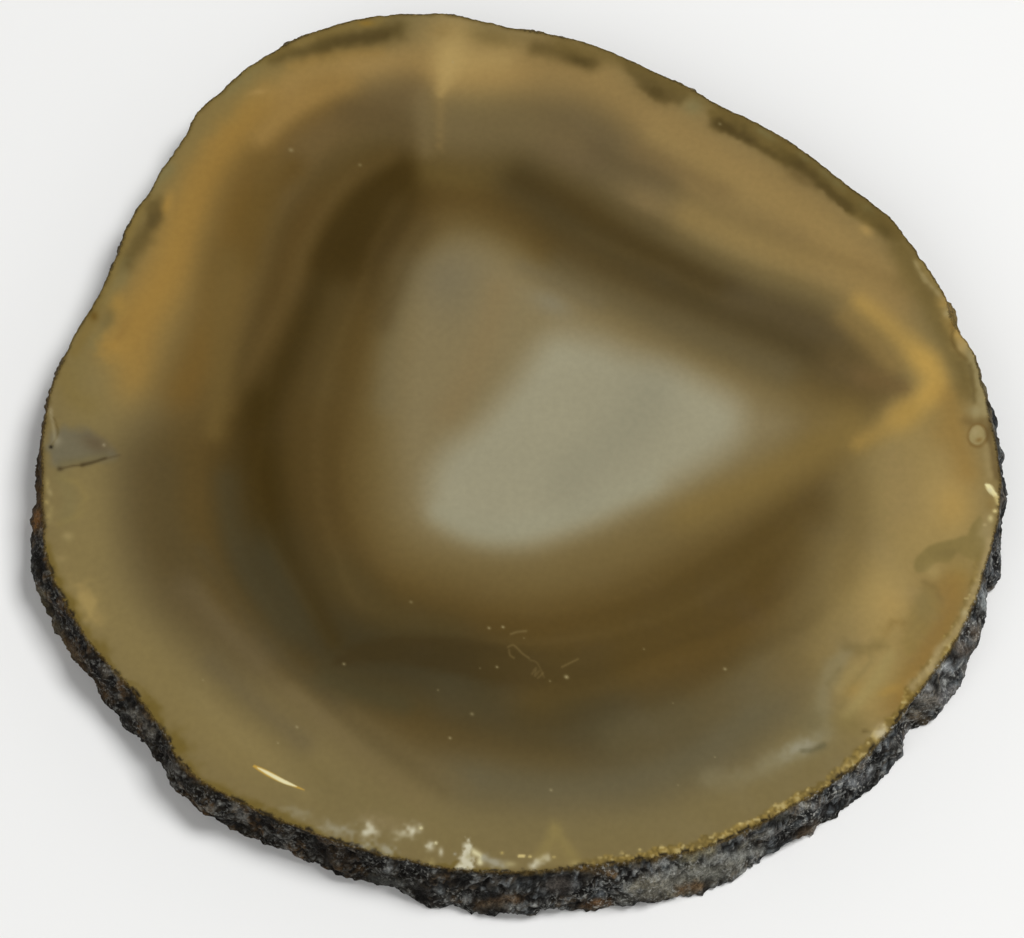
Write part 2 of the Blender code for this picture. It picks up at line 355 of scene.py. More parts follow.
# Bright seams and the golden V at the right
SEAMS = [
    Stroke([(690, 216), (750, 243), (815, 266), (868, 286)], 20, (142, 118, 70), 0.7),
    Stroke([(655, 135), (720, 172), (790, 206), (845, 240)], 14, (150, 126, 76), 0.4),
    Stroke([(690, 185), (740, 214), (800, 238)], 9, (130, 108, 66), 0.45),
    Stroke([(452, 38), (450, 55), (446, 75), (441, 92)], 24, TOP_GLOW, 0.8, end_width=5),
    Stroke([(500, 58), (470, 62), (450, 62)], 16, TOP_GLOW, 0.5),
    Stroke([(441, 88), (440, 120), (440, 150)], 7, GOLD, 0.25, end_width=3),
    Stroke([(860, 303), (884, 322), (906, 343), (928, 366)], 11, BRIGHT_AMBER, 0.55, end_width=18),
    Spot((918, 355), (16, 12), BRIGHT_AMBER, 0.5, 45),
    Stroke([(930, 364), (938, 380), (932, 394)], 13, BRIGHT_AMBER, 0.6),
    Stroke([(936, 388), (918, 404), (900, 417)], 15, BRIGHT_AMBER, 0.7),
    Stroke([(908, 412), (888, 426), (858, 444)], 14, (158, 128, 64), 0.6, end_width=9),
    Stroke([(846, 318), (870, 340), (892, 364)], 13, (134, 110, 62), 0.65),
    Stroke([(862, 376), (904, 388)], 11, (106, 85, 50), 0.7, end_width=7),
    Spot((885, 606), (34, 42), (156, 134, 82), 0.6),
    Stroke([(950, 398), (957, 436), (966, 472)], 15, (142, 113, 58), 0.7),
    Spot((940, 432), (14, 18), (140, 112, 58), 0.4),
    Spot((955, 505), (18, 26), (174, 142, 78), 0.6),
]
# Dark olive spots and greenish haze just inside the rim
RIM_SPOTS = [
    Stroke([(395, 24), (340, 38), (290, 56), (245, 82), (205, 118), (172, 160), (146, 204), (122, 252),
        (100, 300), (84, 345), (72, 380)], 15, RIM_HAZE, 0.6, rough=5, grain=12),
    Stroke([(322, 44), (345, 39), (370, 36), (396, 30)], 11, SPOT_OLIVE, 0.75, rough=2.5, grain=8),
    Stroke([(338, 42), (360, 39), (386, 35)], 6, STREAK_OLIVE, 0.6, rough=1.5),
    Stroke([(272, 57), (300, 52), (326, 48)], 8, SPOT_OLIVE, 0.7, rough=2.5, grain=8),
    Spot((252, 66), (16, 7), GREEN_GREY, 0.6, -30),
    Spot((236, 82), (18, 7), GREEN_GREY, 0.5, -40, rough=0.3),
    Spot((258, 92), (10, 3), (168, 138, 82), 0.5, -10),
    Stroke([(290, 66), (330, 56), (380, 52)], 6, (146, 116, 60), 0.4),
    Spot((366, 23), (8, 3), (146, 108, 34), 0.8),
    Stroke([(205, 100), (245, 70), (300, 42), (345, 28), (380, 20)], 6, RIM_OLIVE, 0.5),
    Spot((492, 38), (26, 9), SOFT_OLIVE, 0.4, 10),
    Stroke([(536, 47), (560, 52), (590, 62)], 9, SPOT_OLIVE, 0.6, rough=2, grain=9),
    Spot((579, 60), (16, 6), STREAK_OLIVE, 0.75, 14, rough=0.2),
    Zone([(620, 58), (630, 76), (644, 91), (660, 101), (678, 104), (690, 97), (684, 86), (664, 76),
        (642, 64)], 5, SPOT_OLIVE, 0.6, rough=2),
    Spot((655, 92), (17, 8), STREAK_OLIVE, 0.7, 28, rough=0.25),
    Stroke([(560, 44), (640, 66), (720, 108), (800, 150), (850, 190), (900, 235)], 9, SOFT_OLIVE, 0.6),
    Spot((693, 106), (10, 8), GREEN_GREY, 0.6),
    Zone([(710, 110), (716, 124), (744, 139), (774, 159), (800, 170), (820, 187), (848, 212), (874, 228),
        (900, 240), (900, 224), (870, 200), (838, 174), (806, 150), (770, 128), (736, 112)], 4,
        SOFT_OLIVE, 0.85, rough=2),
    Stroke([(718, 123), (732, 131), (750, 141)], 6.5, STREAK_OLIVE, 0.8, end_width=4, rough=2.5, grain=6),
    Stroke([(748, 140), (764, 150), (782, 159), (797, 164)], 5, STREAK_OLIVE, 0.6, end_width=7, rough=2.5,
        grain=6),
    Stroke([(800, 166), (812, 176), (824, 187), (838, 200), (852, 211)], 7.5, STREAK_OLIVE, 0.75,
        end_width=3.5, rough=2.5, grain=6),
    Spot((727, 128), (14, 6), STREAK_OLIVE, 0.7, 22, rough=0.2),
    Spot((800, 178), (16, 6), (98, 80, 44), 0.6, 26),
    *[Spot(middle, half, (84, 70, 34), 0.5, 38, rough=0.4, grain=5) for middle, half in [((744, 128),
        (13, 4)), ((786, 154), (14, 5)), ((822, 180), (12, 5)), ((852, 204), (13, 5)), ((884, 232),
        (13, 6))]],
    *[Spot(middle, half, (112, 102, 62), 0.5, 38, rough=0.4, grain=4) for middle, half in [((764, 132),
        (9, 3)), ((806, 158), (9, 4)), ((838, 184), (9, 4)), ((868, 208), (9, 4))]],
    Spot((441, 31), (14, 9), (136, 113, 66), 0.6),
    Spot((907, 273), (11, 20), (116, 97, 55), 0.5, 30),
    Spot((826, 172), (10, 5), GREEN_GREY, 0.4, 45),
    Spot((766, 134), (12, 4), GREEN_GREY, 0.3, 30),
    Stroke([(870, 214), (888, 232), (896, 248)], 8, SPOT_OLIVE, 0.3),
    Spot((866, 230), (8, 5), (172, 142, 82), 0.6, 35),
    Stroke([(905, 252), (920, 285), (936, 315), (955, 350), (966, 380)], 14, INCLUSION_DARK, 0.65),
    Stroke([(150, 184), (168, 168)], 7, GREEN_GREY, 0.6),
    Spot((166, 206), (5, 12), (172, 134, 64), 0.7, 20),
    Stroke([(155, 206), (152, 224), (140, 242), (127, 262)], 9, SPOT_OLIVE, 0.55, rough=3, grain=9),
    Spot((154, 219), (12, 7), (84, 70, 38), 0.75, -60, rough=0.2),
    Stroke([(122, 262), (118, 280), (104, 296)], 8, GREEN_GREY, 0.35, rough=3),
    Stroke([(108, 318), (102, 330), (92, 345)], 5, GREEN_GREY, 0.35, rough=2),
    Stroke([(140, 205), (122, 245), (104, 290), (86, 330), (74, 352)], 6, RIM_OLIVE, 0.6),
    Spot((117, 305), (9, 12), (164, 130, 62), 0.6),
    Stroke([(126, 322), (120, 336), (108, 348)], 3, AMBER_BROWN, 0.5),
    Spot((112, 345), (13, 15), (166, 130, 62), 0.6, 20, rough=0.3),
    Spot((108, 318), (6, 12), (104, 90, 52), 0.5, 25),
    Spot((94, 316), (4, 5), (100, 76, 28), 0.8),
    Stroke([(62, 372), (72, 395), (88, 405)], 12, (124, 106, 58), 0.5),
]
# The grey wedge of clear quartz at the left rim, with its vein and pinhole
LEFT_WEDGE = [
    Zone([(50, 434), (66, 428), (86, 430), (102, 442), (117, 455), (100, 460), (82, 463), (60, 468),
        (50, 456)], 7, WEDGE_GREY, 0.7, rough=3),
    Spot((96, 444), (17, 9), WEDGE_BROWN, 0.8, 30),
    Stroke([(62, 463), (84, 460), (104, 456)], 5, (108, 98, 66), 0.5),
    Stroke([(49, 405), (53, 424), (55, 440)], 1.8, (150, 138, 104), 0.6),
    Stroke([(54, 418), (58, 432), (54, 442), (51, 447)], 1.2, (96, 80, 44), 0.6),
    Spot((49, 410), (3, 3), (170, 158, 124), 0.6),
    Spot((57, 441), (5, 5), (152, 144, 116), 0.5),
    Stroke([(60, 469), (72, 466), (84, 465)], 1.2, (84, 70, 42), 0.7),
    Stroke([(82, 465), (94, 462), (106, 458)], 2.0, (66, 54, 32), 0.8, end_width=1.2),
    Stroke([(104, 459), (120, 455)], 1.2, (84, 70, 44), 0.5),
    Spot((60, 469), (3, 2.4), (62, 50, 30), 0.8),
    Spot((51, 447), (1.7, 1.5), (14, 10, 6), 1.0),
    Spot((104, 445), (1.5, 1.5), (150, 138, 108), 0.9),
    Stroke([(62, 478), (80, 484), (85, 500), (76, 516), (60, 524)], 3.5, (138, 120, 70), 0.4),
    Spot((46, 485), (3, 5), (166, 150, 96), 0.6, rough=0.4, grain=3),
    Spot((50, 492), (2.5, 4), (160, 146, 100), 0.6, rough=0.4, grain=3),
    Spot((46, 502), (3, 2.5), (172, 154, 98), 0.7),
    Spot((50, 516), (4, 8), (160, 144, 92), 0.5, rough=0.5, grain=3),
    Spot((68, 536), (5, 4.4), (152, 136, 90), 0.7),
    Spot((62, 559), (5, 4), (150, 132, 86), 0.5),
    Spot((87, 604), (11, 20), (170, 146, 88), 0.6, -25, rough=0.4),
    Stroke([(62, 478), (70, 500), (66, 516)], 9, GREEN_GREY, 0.3),
]
# The sharp-edged olive flaws near the right rim
RIGHT_FLAWS = [
    Zone([(914, 562), (920, 553), (930, 546), (943, 541), (958, 538), (968, 533), (974, 522), (981, 516),
        (984, 530), (986, 545), (984, 560), (970, 560), (958, 553), (950, 562), (936, 563), (926, 572),
        (916, 572)], 2.0, INCLUSION, 0.85, rough=1.0),
    Spot((962, 572), (16, 22), (146, 124, 68), 0.5),
    Spot((934, 572), (9, 8), (160, 140, 88), 0.6),
    Zone([(925, 583), (934, 589), (941, 600), (940, 614), (930, 630), (920, 646), (908, 656), (903, 640),
        (906, 622), (914, 606), (920, 594)], 4.5, (134, 114, 64), 0.75, rough=1.5),
    Spot((924, 606), (12, 18), INCLUSION, 0.6, 20),
    Stroke([(924, 582), (934, 588), (942, 600)], 3, (112, 94, 52), 0.4),
    Spot((948, 553), (14, 6), (114, 99, 58), 0.5),
    Spot((892, 604), (16, 18), (168, 140, 82), 0.5),
    Stroke([(884, 632), (893, 622), (904, 624)], 4, (130, 106, 56), 0.5),
    Stroke([(956, 585), (950, 625), (926, 664), (902, 694)], 15, (138, 106, 48), 0.55, rough=2),
]
# Milky wisps and pale streaks at the lower right
FRONT_WISPS = [
    Stroke([(848, 652), (832, 672), (822, 696), (824, 718), (828, 734), (808, 745), (785, 756),
        (765, 762)], 9, WISP, 0.45, rough=4, grain=12),
    Spot((805, 743), (24, 10), WISP, 0.45, -22, rough=0.4),
    Stroke([(795, 750), (770, 768), (735, 778), (708, 780)], 9, WISP, 0.4, rough=4, grain=10),
    Spot((812, 722), (15, 14), (106, 98, 69), 0.5),
    Spot((818, 748), (9, 3.4), (96, 88, 60), 0.55, -20, rough=0.3),
    Stroke([(846, 646), (862, 650), (880, 645)], 6, INCLUSION_DARK, 0.6, rough=2),
    Stroke([(890, 656), (878, 676), (862, 698), (846, 716)], 6, (156, 140, 88), 0.6),
    Stroke([(872, 660), (852, 686), (840, 708)], 3, (120, 106, 64), 0.4),
    Stroke([(854, 668), (838, 690)], 5, (150, 132, 82), 0.5),
    Spot((850, 724), (20, 15), (118, 103, 60), 0.6),
    Stroke([(840, 668), (828, 684)], 2.5, (112, 100, 62), 0.3),
    Spot((880, 680), (18, 28), (146, 128, 78), 0.6, 35),
    Spot((889, 690), (12, 5), (160, 128, 62), 0.5, -20, rough=0.3),
    Spot((852, 690), (10, 6), (154, 126, 66), 0.45, -40),
    Spot((800, 748), (17, 6), (150, 146, 126), 0.6, -22, rough=0.5, grain=4),
    Stroke([(802, 751), (812, 750), (824, 745)], 2.6, (92, 86, 60), 0.5, rough=1),
    Stroke([(864, 731), (874, 729)], 2.2, (88, 74, 40), 0.7),
    Spot((771, 755), (3, 1.8), (168, 158, 116), 0.8, 40),
]
# White crystals and crusts along the front rim
FRONT_CRYSTALS = [
    Spot((370, 828), (7, 7), WHITE_CRYSTAL, 0.85, -60, rough=0.55, grain=4),
    Spot((366, 834), (4, 3), WHITE_CRYSTAL, 0.6),
    Spot((401, 833), (7, 5), WHITE_CRYSTAL, 0.6, rough=0.6, grain=4),
    Spot((413, 830), (6, 5), WHITE_CRYSTAL, 0.85, -30, rough=0.5, grain=4),
    Spot((421, 828), (2, 1.8), CREAM_AND_GLINT, 0.9),
    Spot((430, 846), (4, 4), WHITE_CRYSTAL, 0.9, rough=0.4, grain=3),
    Spot((436, 843), (1.6, 1.6), CREAM_AND_GLINT, 0.9),
    Spot((441, 852), (2.2, 4), WHITE_CRYSTAL, 0.7),
    Spot((455, 854), (1.6, 1.4), GREY_CRYSTAL, 0.8),
    Zone([(469, 839), (473, 848), (472, 858), (474, 868), (459, 870), (460, 856), (465, 846)], 3.0,
        WHITE_CRYSTAL, 0.85, rough=3.5, grain=3),
    Spot((468, 856), (3, 3), (150, 140, 100), 0.6, rough=0.5, grain=3),
    Stroke([(474, 852), (480, 856), (480, 862)], 3.2, CREAM_AND_GLINT, 0.85, rough=1),
    Stroke([(484, 858), (492, 862), (502, 865)], 4, GREY_CRYSTAL, 0.8, rough=2, grain=4),
    Spot((510, 864), (6, 3), (176, 166, 122), 0.6),
    Stroke([(533, 866), (540, 860), (547, 858)], 3.6, WHITE_CRYSTAL, 0.8, rough=1.5, grain=4),
    Stroke([(519, 856), (524, 856)], 1.3, (226, 206, 138), 0.95),
    Spot((530, 856.5), (1.6, 1.3), (220, 200, 130), 0.9),
    Spot((502, 853), (1.6, 1.3), (190, 170, 100), 0.8),
    Spot((554, 857), (1.8, 1.3), (206, 186, 120), 0.8),
    Spot((575, 863), (5, 3), (170, 156, 104), 0.6),
    Spot((363, 847), (10, 5), GREY_CRYSTAL, 0.75, rough=0.6, grain=4),
    Spot((387, 851), (7, 5), GREY_CRYSTAL, 0.75, rough=0.6, grain=4),
    Spot((431, 863), (5, 4), (176, 160, 104), 0.6, rough=0.5, grain=3),
    Spot((338, 829), (15, 6), GREY_CRYSTAL, 0.6, 8, rough=0.6, grain=4),
    Spot((300, 814), (14, 5), GREY_CRYSTAL, 0.35, 20, rough=0.6, grain=4),
    Zone([(555, 822), (563, 834), (574, 848), (580, 860), (566, 866), (542, 862), (534, 856), (545, 840)],
        7, (136, 119, 70), 0.35),
    Stroke([(555, 828), (548, 843), (540, 856)], 6, (142, 126, 74), 0.3),
    Stroke([(555, 828), (565, 845), (575, 858)], 6, (142, 126, 74), 0.3),
    Spot((383, 822), (26, 8), (136, 120, 84), 0.5, 10),
]
# A painted glint, a thin cream streak with gold ends standing in for light that glints in the stone, and
# fine scratches on the polish
GLINT_AND_SCRATCHES = [
    Zone([(250, 764), (260, 767), (272, 772.5), (286, 780.5), (306, 790.5), (292, 786.5), (276, 780.5),
        (262, 773)], 0.8, GLINT_GOLD, 0.9),
    Zone([(257, 767.5), (266, 770.5), (278, 776.5), (297, 786.5), (284, 783.5), (268, 775)], 0.7, CREAM_AND_GLINT,
        1.0),
    Stroke([(511, 634), (517, 632), (526, 631)], 1.3, SCRATCH, 0.9),
    Stroke([(508, 647), (513, 645), (518, 649), (523, 654), (529, 658)], 1.1, SCRATCH, 0.7),
    Stroke([(509, 650), (510, 655), (514, 658)], 1.1, SCRATCH, 0.6),
    Stroke([(530, 660), (536, 662), (540, 668), (544, 677)], 1.0, SCRATCH, 0.45),
    Stroke([(532, 674), (536, 668), (535, 676), (539, 671)], 1.0, SCRATCH, 0.6),
    Stroke([(538, 678), (543, 673)], 1.0, SCRATCH, 0.6),
    Stroke([(562, 667), (570, 663), (578, 659)], 1.1, SCRATCH, 0.7),
    *[Spot(middle, (0.8 * size, 0.6 * size), DUST, 0.8 * strength, 30) for middle, size, strength in
        DUST_SPECKS],
]
# Pale crusts, grains and crystals along the right rim
RIGHT_CRUST = [
    Stroke([(902, 250), (920, 280), (936, 306), (948, 332), (962, 362), (968, 392)], 11, (102, 85, 44),
        0.55, rough=2),
    Stroke([(915, 262), (923, 276), (936, 290), (944, 300)], 2.6, (152, 137, 94), 0.7, rough=1.5),
    Stroke([(922, 262), (932, 276), (944, 290)], 5, (138, 118, 66), 0.6, rough=1.5),
    Stroke([(947, 304), (953, 320), (962, 338)], 9, (160, 132, 72), 0.8, rough=2.5, grain=5),
    Spot((948, 312), (5, 5), (158, 144, 102), 0.8, rough=0.3),
    Spot((954, 325), (3.5, 3), (118, 88, 38), 0.7),
    Spot((958, 335), (6, 4), (172, 142, 78), 0.7, 40),
    Spot((964, 346), (9, 8), (166, 142, 90), 0.9, -30, rough=0.3),
    Stroke([(953, 330), (952, 340), (958, 352), (968, 360)], 2.0, (98, 78, 38), 0.6),
    Stroke([(972, 354), (977, 368), (981, 384), (984, 400), (986, 412)], 7.5, (150, 136, 94), 0.8,
        rough=2.5, grain=5),
    Stroke([(970, 366), (973, 384), (974, 402)], 2.2, (100, 84, 46), 0.6, rough=1),
    Spot((976, 411), (8, 7), (150, 137, 95), 0.85, rough=0.25),
    Stroke([(966, 421), (974, 424), (981, 422)], 5, (104, 83, 44), 0.5, rough=1.5),
    Zone([(978, 423), (986, 427), (989, 436), (985, 445), (978, 448), (970, 445), (967, 436), (970, 427)],
        1.5, (112, 87, 44), 0.75),
    Zone([(978, 425), (984, 429), (986, 436), (983, 442), (977, 445), (971, 442), (969, 436), (972, 428)],
        1.3, (152, 137, 92), 0.95),
    Spot((975, 432), (4, 3.5), (166, 150, 108), 0.5, rough=0.3, grain=3),
    Spot((979, 440), (3.5, 2.2), (120, 90, 42), 0.7, -20),
    Stroke([(990, 418), (989, 436), (993, 458), (996, 476)], 3.5, (92, 74, 42), 0.6, rough=1),
    Stroke([(986, 446), (988, 462), (990, 476)], 4, (146, 128, 84), 0.75, rough=1.5),
    Zone([(985, 484), (991, 485), (995, 491), (998, 497), (993, 496), (988, 491)], 0.9, (224, 214, 160),
        1.0),
    Spot((990, 490), (2, 2), (196, 190, 160), 0.6),
    Spot((990, 503), (5, 8), (132, 110, 62), 0.6),
    Stroke([(996, 497), (998, 503)], 2.0, (200, 182, 122), 0.85),
    Spot((995, 511), (2.2, 1.8), (224, 208, 146), 0.95),
    Spot((990.5, 518.5), (2.6, 3.4), (210, 196, 140), 0.95),
    Spot((985, 525), (1.8, 1.4), (206, 190, 138), 0.85),
    Spot((986, 530), (7, 13), (146, 130, 88), 0.75, 8, rough=0.3),
    Stroke([(989, 542), (988, 552), (984, 566), (979, 580), (973, 596), (966, 612), (956, 632),
        (940, 648), (932, 668)], 4.5, (154, 136, 92), 0.85, rough=1.5),
    Spot((965, 613), (4, 4), (172, 158, 116), 0.8),
    Spot((881, 732), (8, 6), (188, 176, 142), 0.95, rough=0.4, grain=4),
    Spot((872, 729), (6, 2.5), (150, 130, 78), 0.7),
    Stroke([(912, 686), (922, 676), (930, 668)], 5, (166, 150, 110), 0.6, rough=2, grain=4),
    *[Spot(middle, (1.6, 1.4), (206, 184, 118), 0.75) for middle in BRIGHT_GRAINS_AND_GLINTS],
]
# Amber-olive stains beside the bark at the lower left: place, half sizes and turn
STAINS = [
    ((47, 558), (4, 13), -10), ((56, 578), (4, 7), -25), ((68, 606), (5, 9), -25),
    ((150, 712), (9, 6), 40), ((74, 612), (10, 5), 60), ((97, 645), (10, 5), 40),
    ((112, 682), (8, 5), 60), ((146, 706), (12, 7), 40), ((166, 740), (10, 10), 0),
    ((178, 748), (9, 7), 0), ((192, 770), (8, 6), 45), ((228, 795), (14, 5), 25),
    ((244, 802), (10, 4), 20), ((300, 826), (12, 4), 20), ((342, 846), (10, 4), 15)]
STAIN_MARKS = [
    *[Spot(middle, (1.3 * half[0], 1.3 * half[1]), STAIN, 0.9, turn, rough=0.5, grain=7)
      for middle, half, turn in STAINS],
    Spot((138, 689), (9, 6), (124, 108, 66), 0.6, 40),
]
# The knob of golden crust that stands out at the right
GOLDEN_KNOB = Stroke([(944, 296), (953, 312), (960, 330), (968, 346)], 7, (132, 108, 58), 0.55,
                     rough=4, grain=5)
# Streaks of the bark, and painted shadow in a notch: path, width, colour and strength
BARK_STREAKS_AND_NOTCH_SHADOW = [
    ([(66, 352), (55, 385), (46, 420), (42, 460), (39, 505), (35, 528)], 6, (66, 48, 22), 0.9),
    ([(37, 512), (37, 520), (35, 527)], 3, (124, 84, 36), 0.8),
    ([(39, 592), (47, 612), (58, 632), (72, 656)], 5, (102, 92, 70), 0.6),
    # Painted shadow: these two near-black streaks stand for the shade in a notch of the bark
    ([(406, 868), (414, 880), (424, 896)], 6, (12, 10, 8), 0.8),
    ([(424, 868), (426, 884), (432, 900)], 5, (14, 12, 10), 0.6),
    ([(580, 868), (600, 872), (614, 874)], 2.5, (124, 92, 52), 0.8),
    ([(478, 905), (500, 900), (520, 900)], 4, (104, 80, 54), 0.7),
    ([(585, 906), (600, 902), (610, 904)], 3.5, (118, 86, 54), 0.8),
    ([(632, 888), (650, 885), (668, 890)], 6, (150, 144, 124), 0.7),
    ([(640, 898), (660, 896), (690, 892)], 4, (128, 120, 100), 0.5),
    ([(655, 866), (665, 862), (674, 868), (668, 876)], 2.5, (158, 160, 156), 0.7),
    ([(700, 866), (725, 858), (745, 854), (762, 850)], 4, (142, 142, 134), 0.75),
    ([(684, 872), (712, 874), (736, 866)], 3.5, (128, 128, 122), 0.6),
    ([(664, 882), (690, 878), (714, 872), (738, 862)], 8, (140, 137, 122), 0.6),
    ([(620, 900), (650, 893), (676, 884)], 5, (124, 122, 112), 0.5),
    ([(682, 890), (700, 886)], 5, (116, 86, 52), 0.7),
    ([(800, 838), (815, 826)], 6, (92, 74, 54), 0.6),
    ([(740, 848), (756, 838), (770, 832)], 3, (112, 106, 88), 0.5),
    ([(132, 712), (146, 722), (152, 736)], 4, (120, 116, 106), 0.7),
    ([(100, 668), (108, 676)], 3, (104, 96, 84), 0.6),
    ([(232, 798), (237, 810), (246, 822)], 3, (128, 126, 120), 0.6),
    ([(372, 878), (386, 882), (402, 884)], 5, (88, 90, 86), 0.6),
    ([(318, 846), (336, 856), (352, 864)], 8, (20, 16, 11), 0.7),
    ([(62, 632), (86, 672), (112, 702)], 3, (78, 58, 34), 0.6),
    ([(940, 700), (952, 690)], 4, (132, 132, 136), 0.5),
    ([(918, 716), (926, 722)], 6, (128, 112, 88), 0.5),
]
# Patches of the bark, and one painted shadow: place, half sizes, colour and strength
BARK_PATCHES_AND_SHADOW = [
    ((172, 766), (7, 5), (96, 92, 86), 0.6), ((203, 787), (15, 9), (26, 22, 14), 0.9),
    ((493, 905), (12, 4), (112, 102, 86), 0.5), ((698, 850), (12, 5), (142, 132, 96), 0.5),
    ((783, 817), (10, 4), (112, 112, 100), 0.5), ((600, 871), (13, 4), (40, 34, 26), 0.5),
    ((854, 781), (10, 6), (130, 132, 132), 0.5), ((962, 650), (12, 8), (112, 98, 84), 0.6),
    # Painted shadow: the blue-grey patch at (910, 736) is shaded floor seen in a notch, laid on the bark
    ((915, 714), (8, 6), (142, 124, 98), 0.6), ((910, 736), (8, 8), (120, 118, 122), 0.6),
    ((946, 668), (8, 5), (172, 174, 174), 0.5),
    ((553, 884), (14, 6), (86, 82, 74), 0.5), ((594, 870), (14, 4), (62, 54, 40), 0.5),
    ((456, 893), (10, 6), (30, 30, 28), 0.6), ((414, 884), (9, 6), (66, 66, 62), 0.5),
    ((857, 780), (9, 6), (116, 118, 120), 0.5), ((736, 856), (12, 5), (128, 130, 128), 0.5),
    ((927, 700), (9, 7), (128, 122, 112), 0.6), ((816, 810), (8, 6), (112, 114, 116), 0.5),
    ((388, 868), (5, 4), (132, 136, 138), 0.6), ((440, 890), (5, 5), (112, 118, 120), 0.6),
    ((467, 898), (4, 4), (160, 164, 164), 0.8), ((508, 905), (4, 3), (150, 148, 140), 0.7),
    ((520, 884), (7, 4), (92, 100, 104), 0.6), ((575, 885), (4, 4), (140, 146, 148), 0.7),
    ((600, 893), (5, 4), (128, 134, 138), 0.7), ((560, 885), (14, 8), (62, 54, 50), 0.6),
    ((690, 858), (9, 8), (150, 142, 112), 0.7), ((712, 850), (6, 6), (150, 142, 112), 0.5),
    ((770, 833), (3, 3), (170, 174, 172), 0.8), ((790, 846), (5, 3), (150, 156, 160), 0.6),
    ((807, 806), (3, 3), (160, 156, 140), 0.7), ((830, 812), (4, 3), (132, 138, 142), 0.6),
    ((852, 782), (5, 6), (140, 144, 146), 0.6), ((870, 770), (3.5, 4), (168, 172, 172), 0.8),
    ((865, 757), (4, 4), (168, 172, 172), 0.8), ((896, 760), (3.5, 3.5), (150, 154, 154), 0.7),
    ((893, 742), (3, 3), (140, 142, 140), 0.6), ((914, 712), (3, 3), (180, 176, 160), 0.8),
    ((944, 668), (9, 4), (176, 180, 180), 0.7), ((945, 682), (4, 6), (190, 192, 188), 0.85),
    ((945, 675), (2.6, 2.6), (14, 14, 14), 1.0), ((928, 688), (5, 5), (150, 152, 152), 0.6),
    ((966, 668), (4, 4), (146, 140, 134), 0.6), ((984, 603), (4, 8), (172, 178, 176), 0.8),
    ((982, 590), (3, 9), (132, 138, 140), 0.6), ((975, 632), (6, 8), (104, 86, 68), 0.5),
    ((996, 574), (3, 4), (140, 144, 148), 0.6), ((702, 873), (24, 7), (124, 124, 114), 0.5),
    ((927, 701), (11, 8), (130, 124, 112), 0.6), ((556, 886), (12, 6), (84, 80, 74), 0.5),
]
BARK_MARKS = [
    *[Stroke(path, width, colour, strength, rough=0.6 * width, grain=5)
      for path, width, colour, strength in BARK_STREAKS_AND_NOTCH_SHADOW],
    *[Spot(middle, half, colour, strength, rough=0.5, grain=4)
      for middle, half, colour, strength in BARK_PATCHES_AND_SHADOW],
]

# Where the crust, the stains and the bark's ragged top begin and how far they take to show, in pixels
CRUST_LEFT = (560.0, 60.0)
CRUST_TOP = (540.0, 60.0)
CRUST_WIDENING = (640.0, 80.0)
STAINS_TOP = (535.0, 30.0)
RAGGED_TOP = (500.0, 60.0)
RAGGED_RIGHT = (960.0, 40.0)
SPECKS_TOP = (500.0, 60.0)
# Widths of the crust and of the stains beside the bark, in mm
CRUST_WIDTH, CRUST_EXTRA_WIDTH = 1.15, 0.45
STAIN_WIDTH = 0.95
# Growth lines: how far from the halo of the core they start and end in pixels, their sizes and
# wander, and how strongly they show
LINES_START, LINES_END = (-6.0, 24.0), (210.0, 90.0)
FINE_LINE, BROAD_LINE = 9.0, 20.0
LINE_WANDER, WANDER_SIZE = 9.0, 60.0
LIGHT_LINES, DARK_LINES = 0.13, 0.16
# Where the bark turns from near black to slate and to grey, and where its back begins, in mm
SLATE_FROM = (-25.0, 30.0)
GREY_FROM = (8.0, 34.0)
BACK_FROM = (-8.0, 20.0)

# Materials
STONE_IOR = 1.54
POLISH_SHEEN, BARK_SHEEN = 0.3, 0.06
SPECK_COLOUR = (0.36, 0.36, 0.33, 1.0)

# The studio. Lamps: name, azimuth and elevation in degrees, distance, size and power
LAMPS = [("key", 15, 62, 1.6, 0.6, 20.0), ("fill", 235, 40, 1.6, 1.2, 6.0)]
FLOOR_REACH = 4.0
FLOOR_DROP = 0.2 * MM
FLOOR_COLOUR = (0.86, 0.86, 0.85, 1.0)
FLOOR_ROUGHNESS, FLOOR_SHEEN = 0.8, 0.1
SKY_COLOUR = (1.0, 0.995, 0.985, 1.0)
SKY_HEIGHTS = (0.15, 0.75)
SKY_STRENGTHS = (0.85, 0.1)


# The photograph's view

def view_axes():
    """The camera's place and its right, up and forward directions."""
    forward = np.array([0.0, math.cos(ELEVATION), -math.sin(ELEVATION)])
    right = np.array([1.0, 0.0, 0.0])
    up = np.cross(right, forward)
    place = np.array([AIM_X, AIM_Y, THICKNESS]) - DISTANCE * forward
    return place, right, up, forward


def to_pixels(points):
    """Where points of the slab show in the photograph."""
    place, right, up, forward = view_axes()
    away = np.asarray(points, float) - place
    scale = LENS / SENSOR * IMAGE_WIDTH / (away @ forward)
    across = IMAGE_WIDTH / 2 + scale * (away @ right)
    down = IMAGE_HEIGHT / 2 - scale * (away @ up)
    return np.column_stack([across, down])


def on_face(pixel):
    """The place on the polished face that shows at a pixel, as x and y."""
    place, right, up, forward = view_axes()
    scale = LENS / SENSOR * IMAGE_WIDTH
    across = (pixel[0] - IMAGE_WIDTH / 2) / scale
    down = (pixel[1] - IMAGE_HEIGHT / 2) / scale
    ray = forward + right * across - up * down
    hit = place + ray * (THICKNESS - place[2]) / ray[2]
    return hit[:2]


# Small helpers

def smooth(share):
    """A soft step from 0 to 1, on arrays too."""
    share = np.clip(share, 0.0, 1.0)
    return share * share * (3.0 - 2.0 * share)


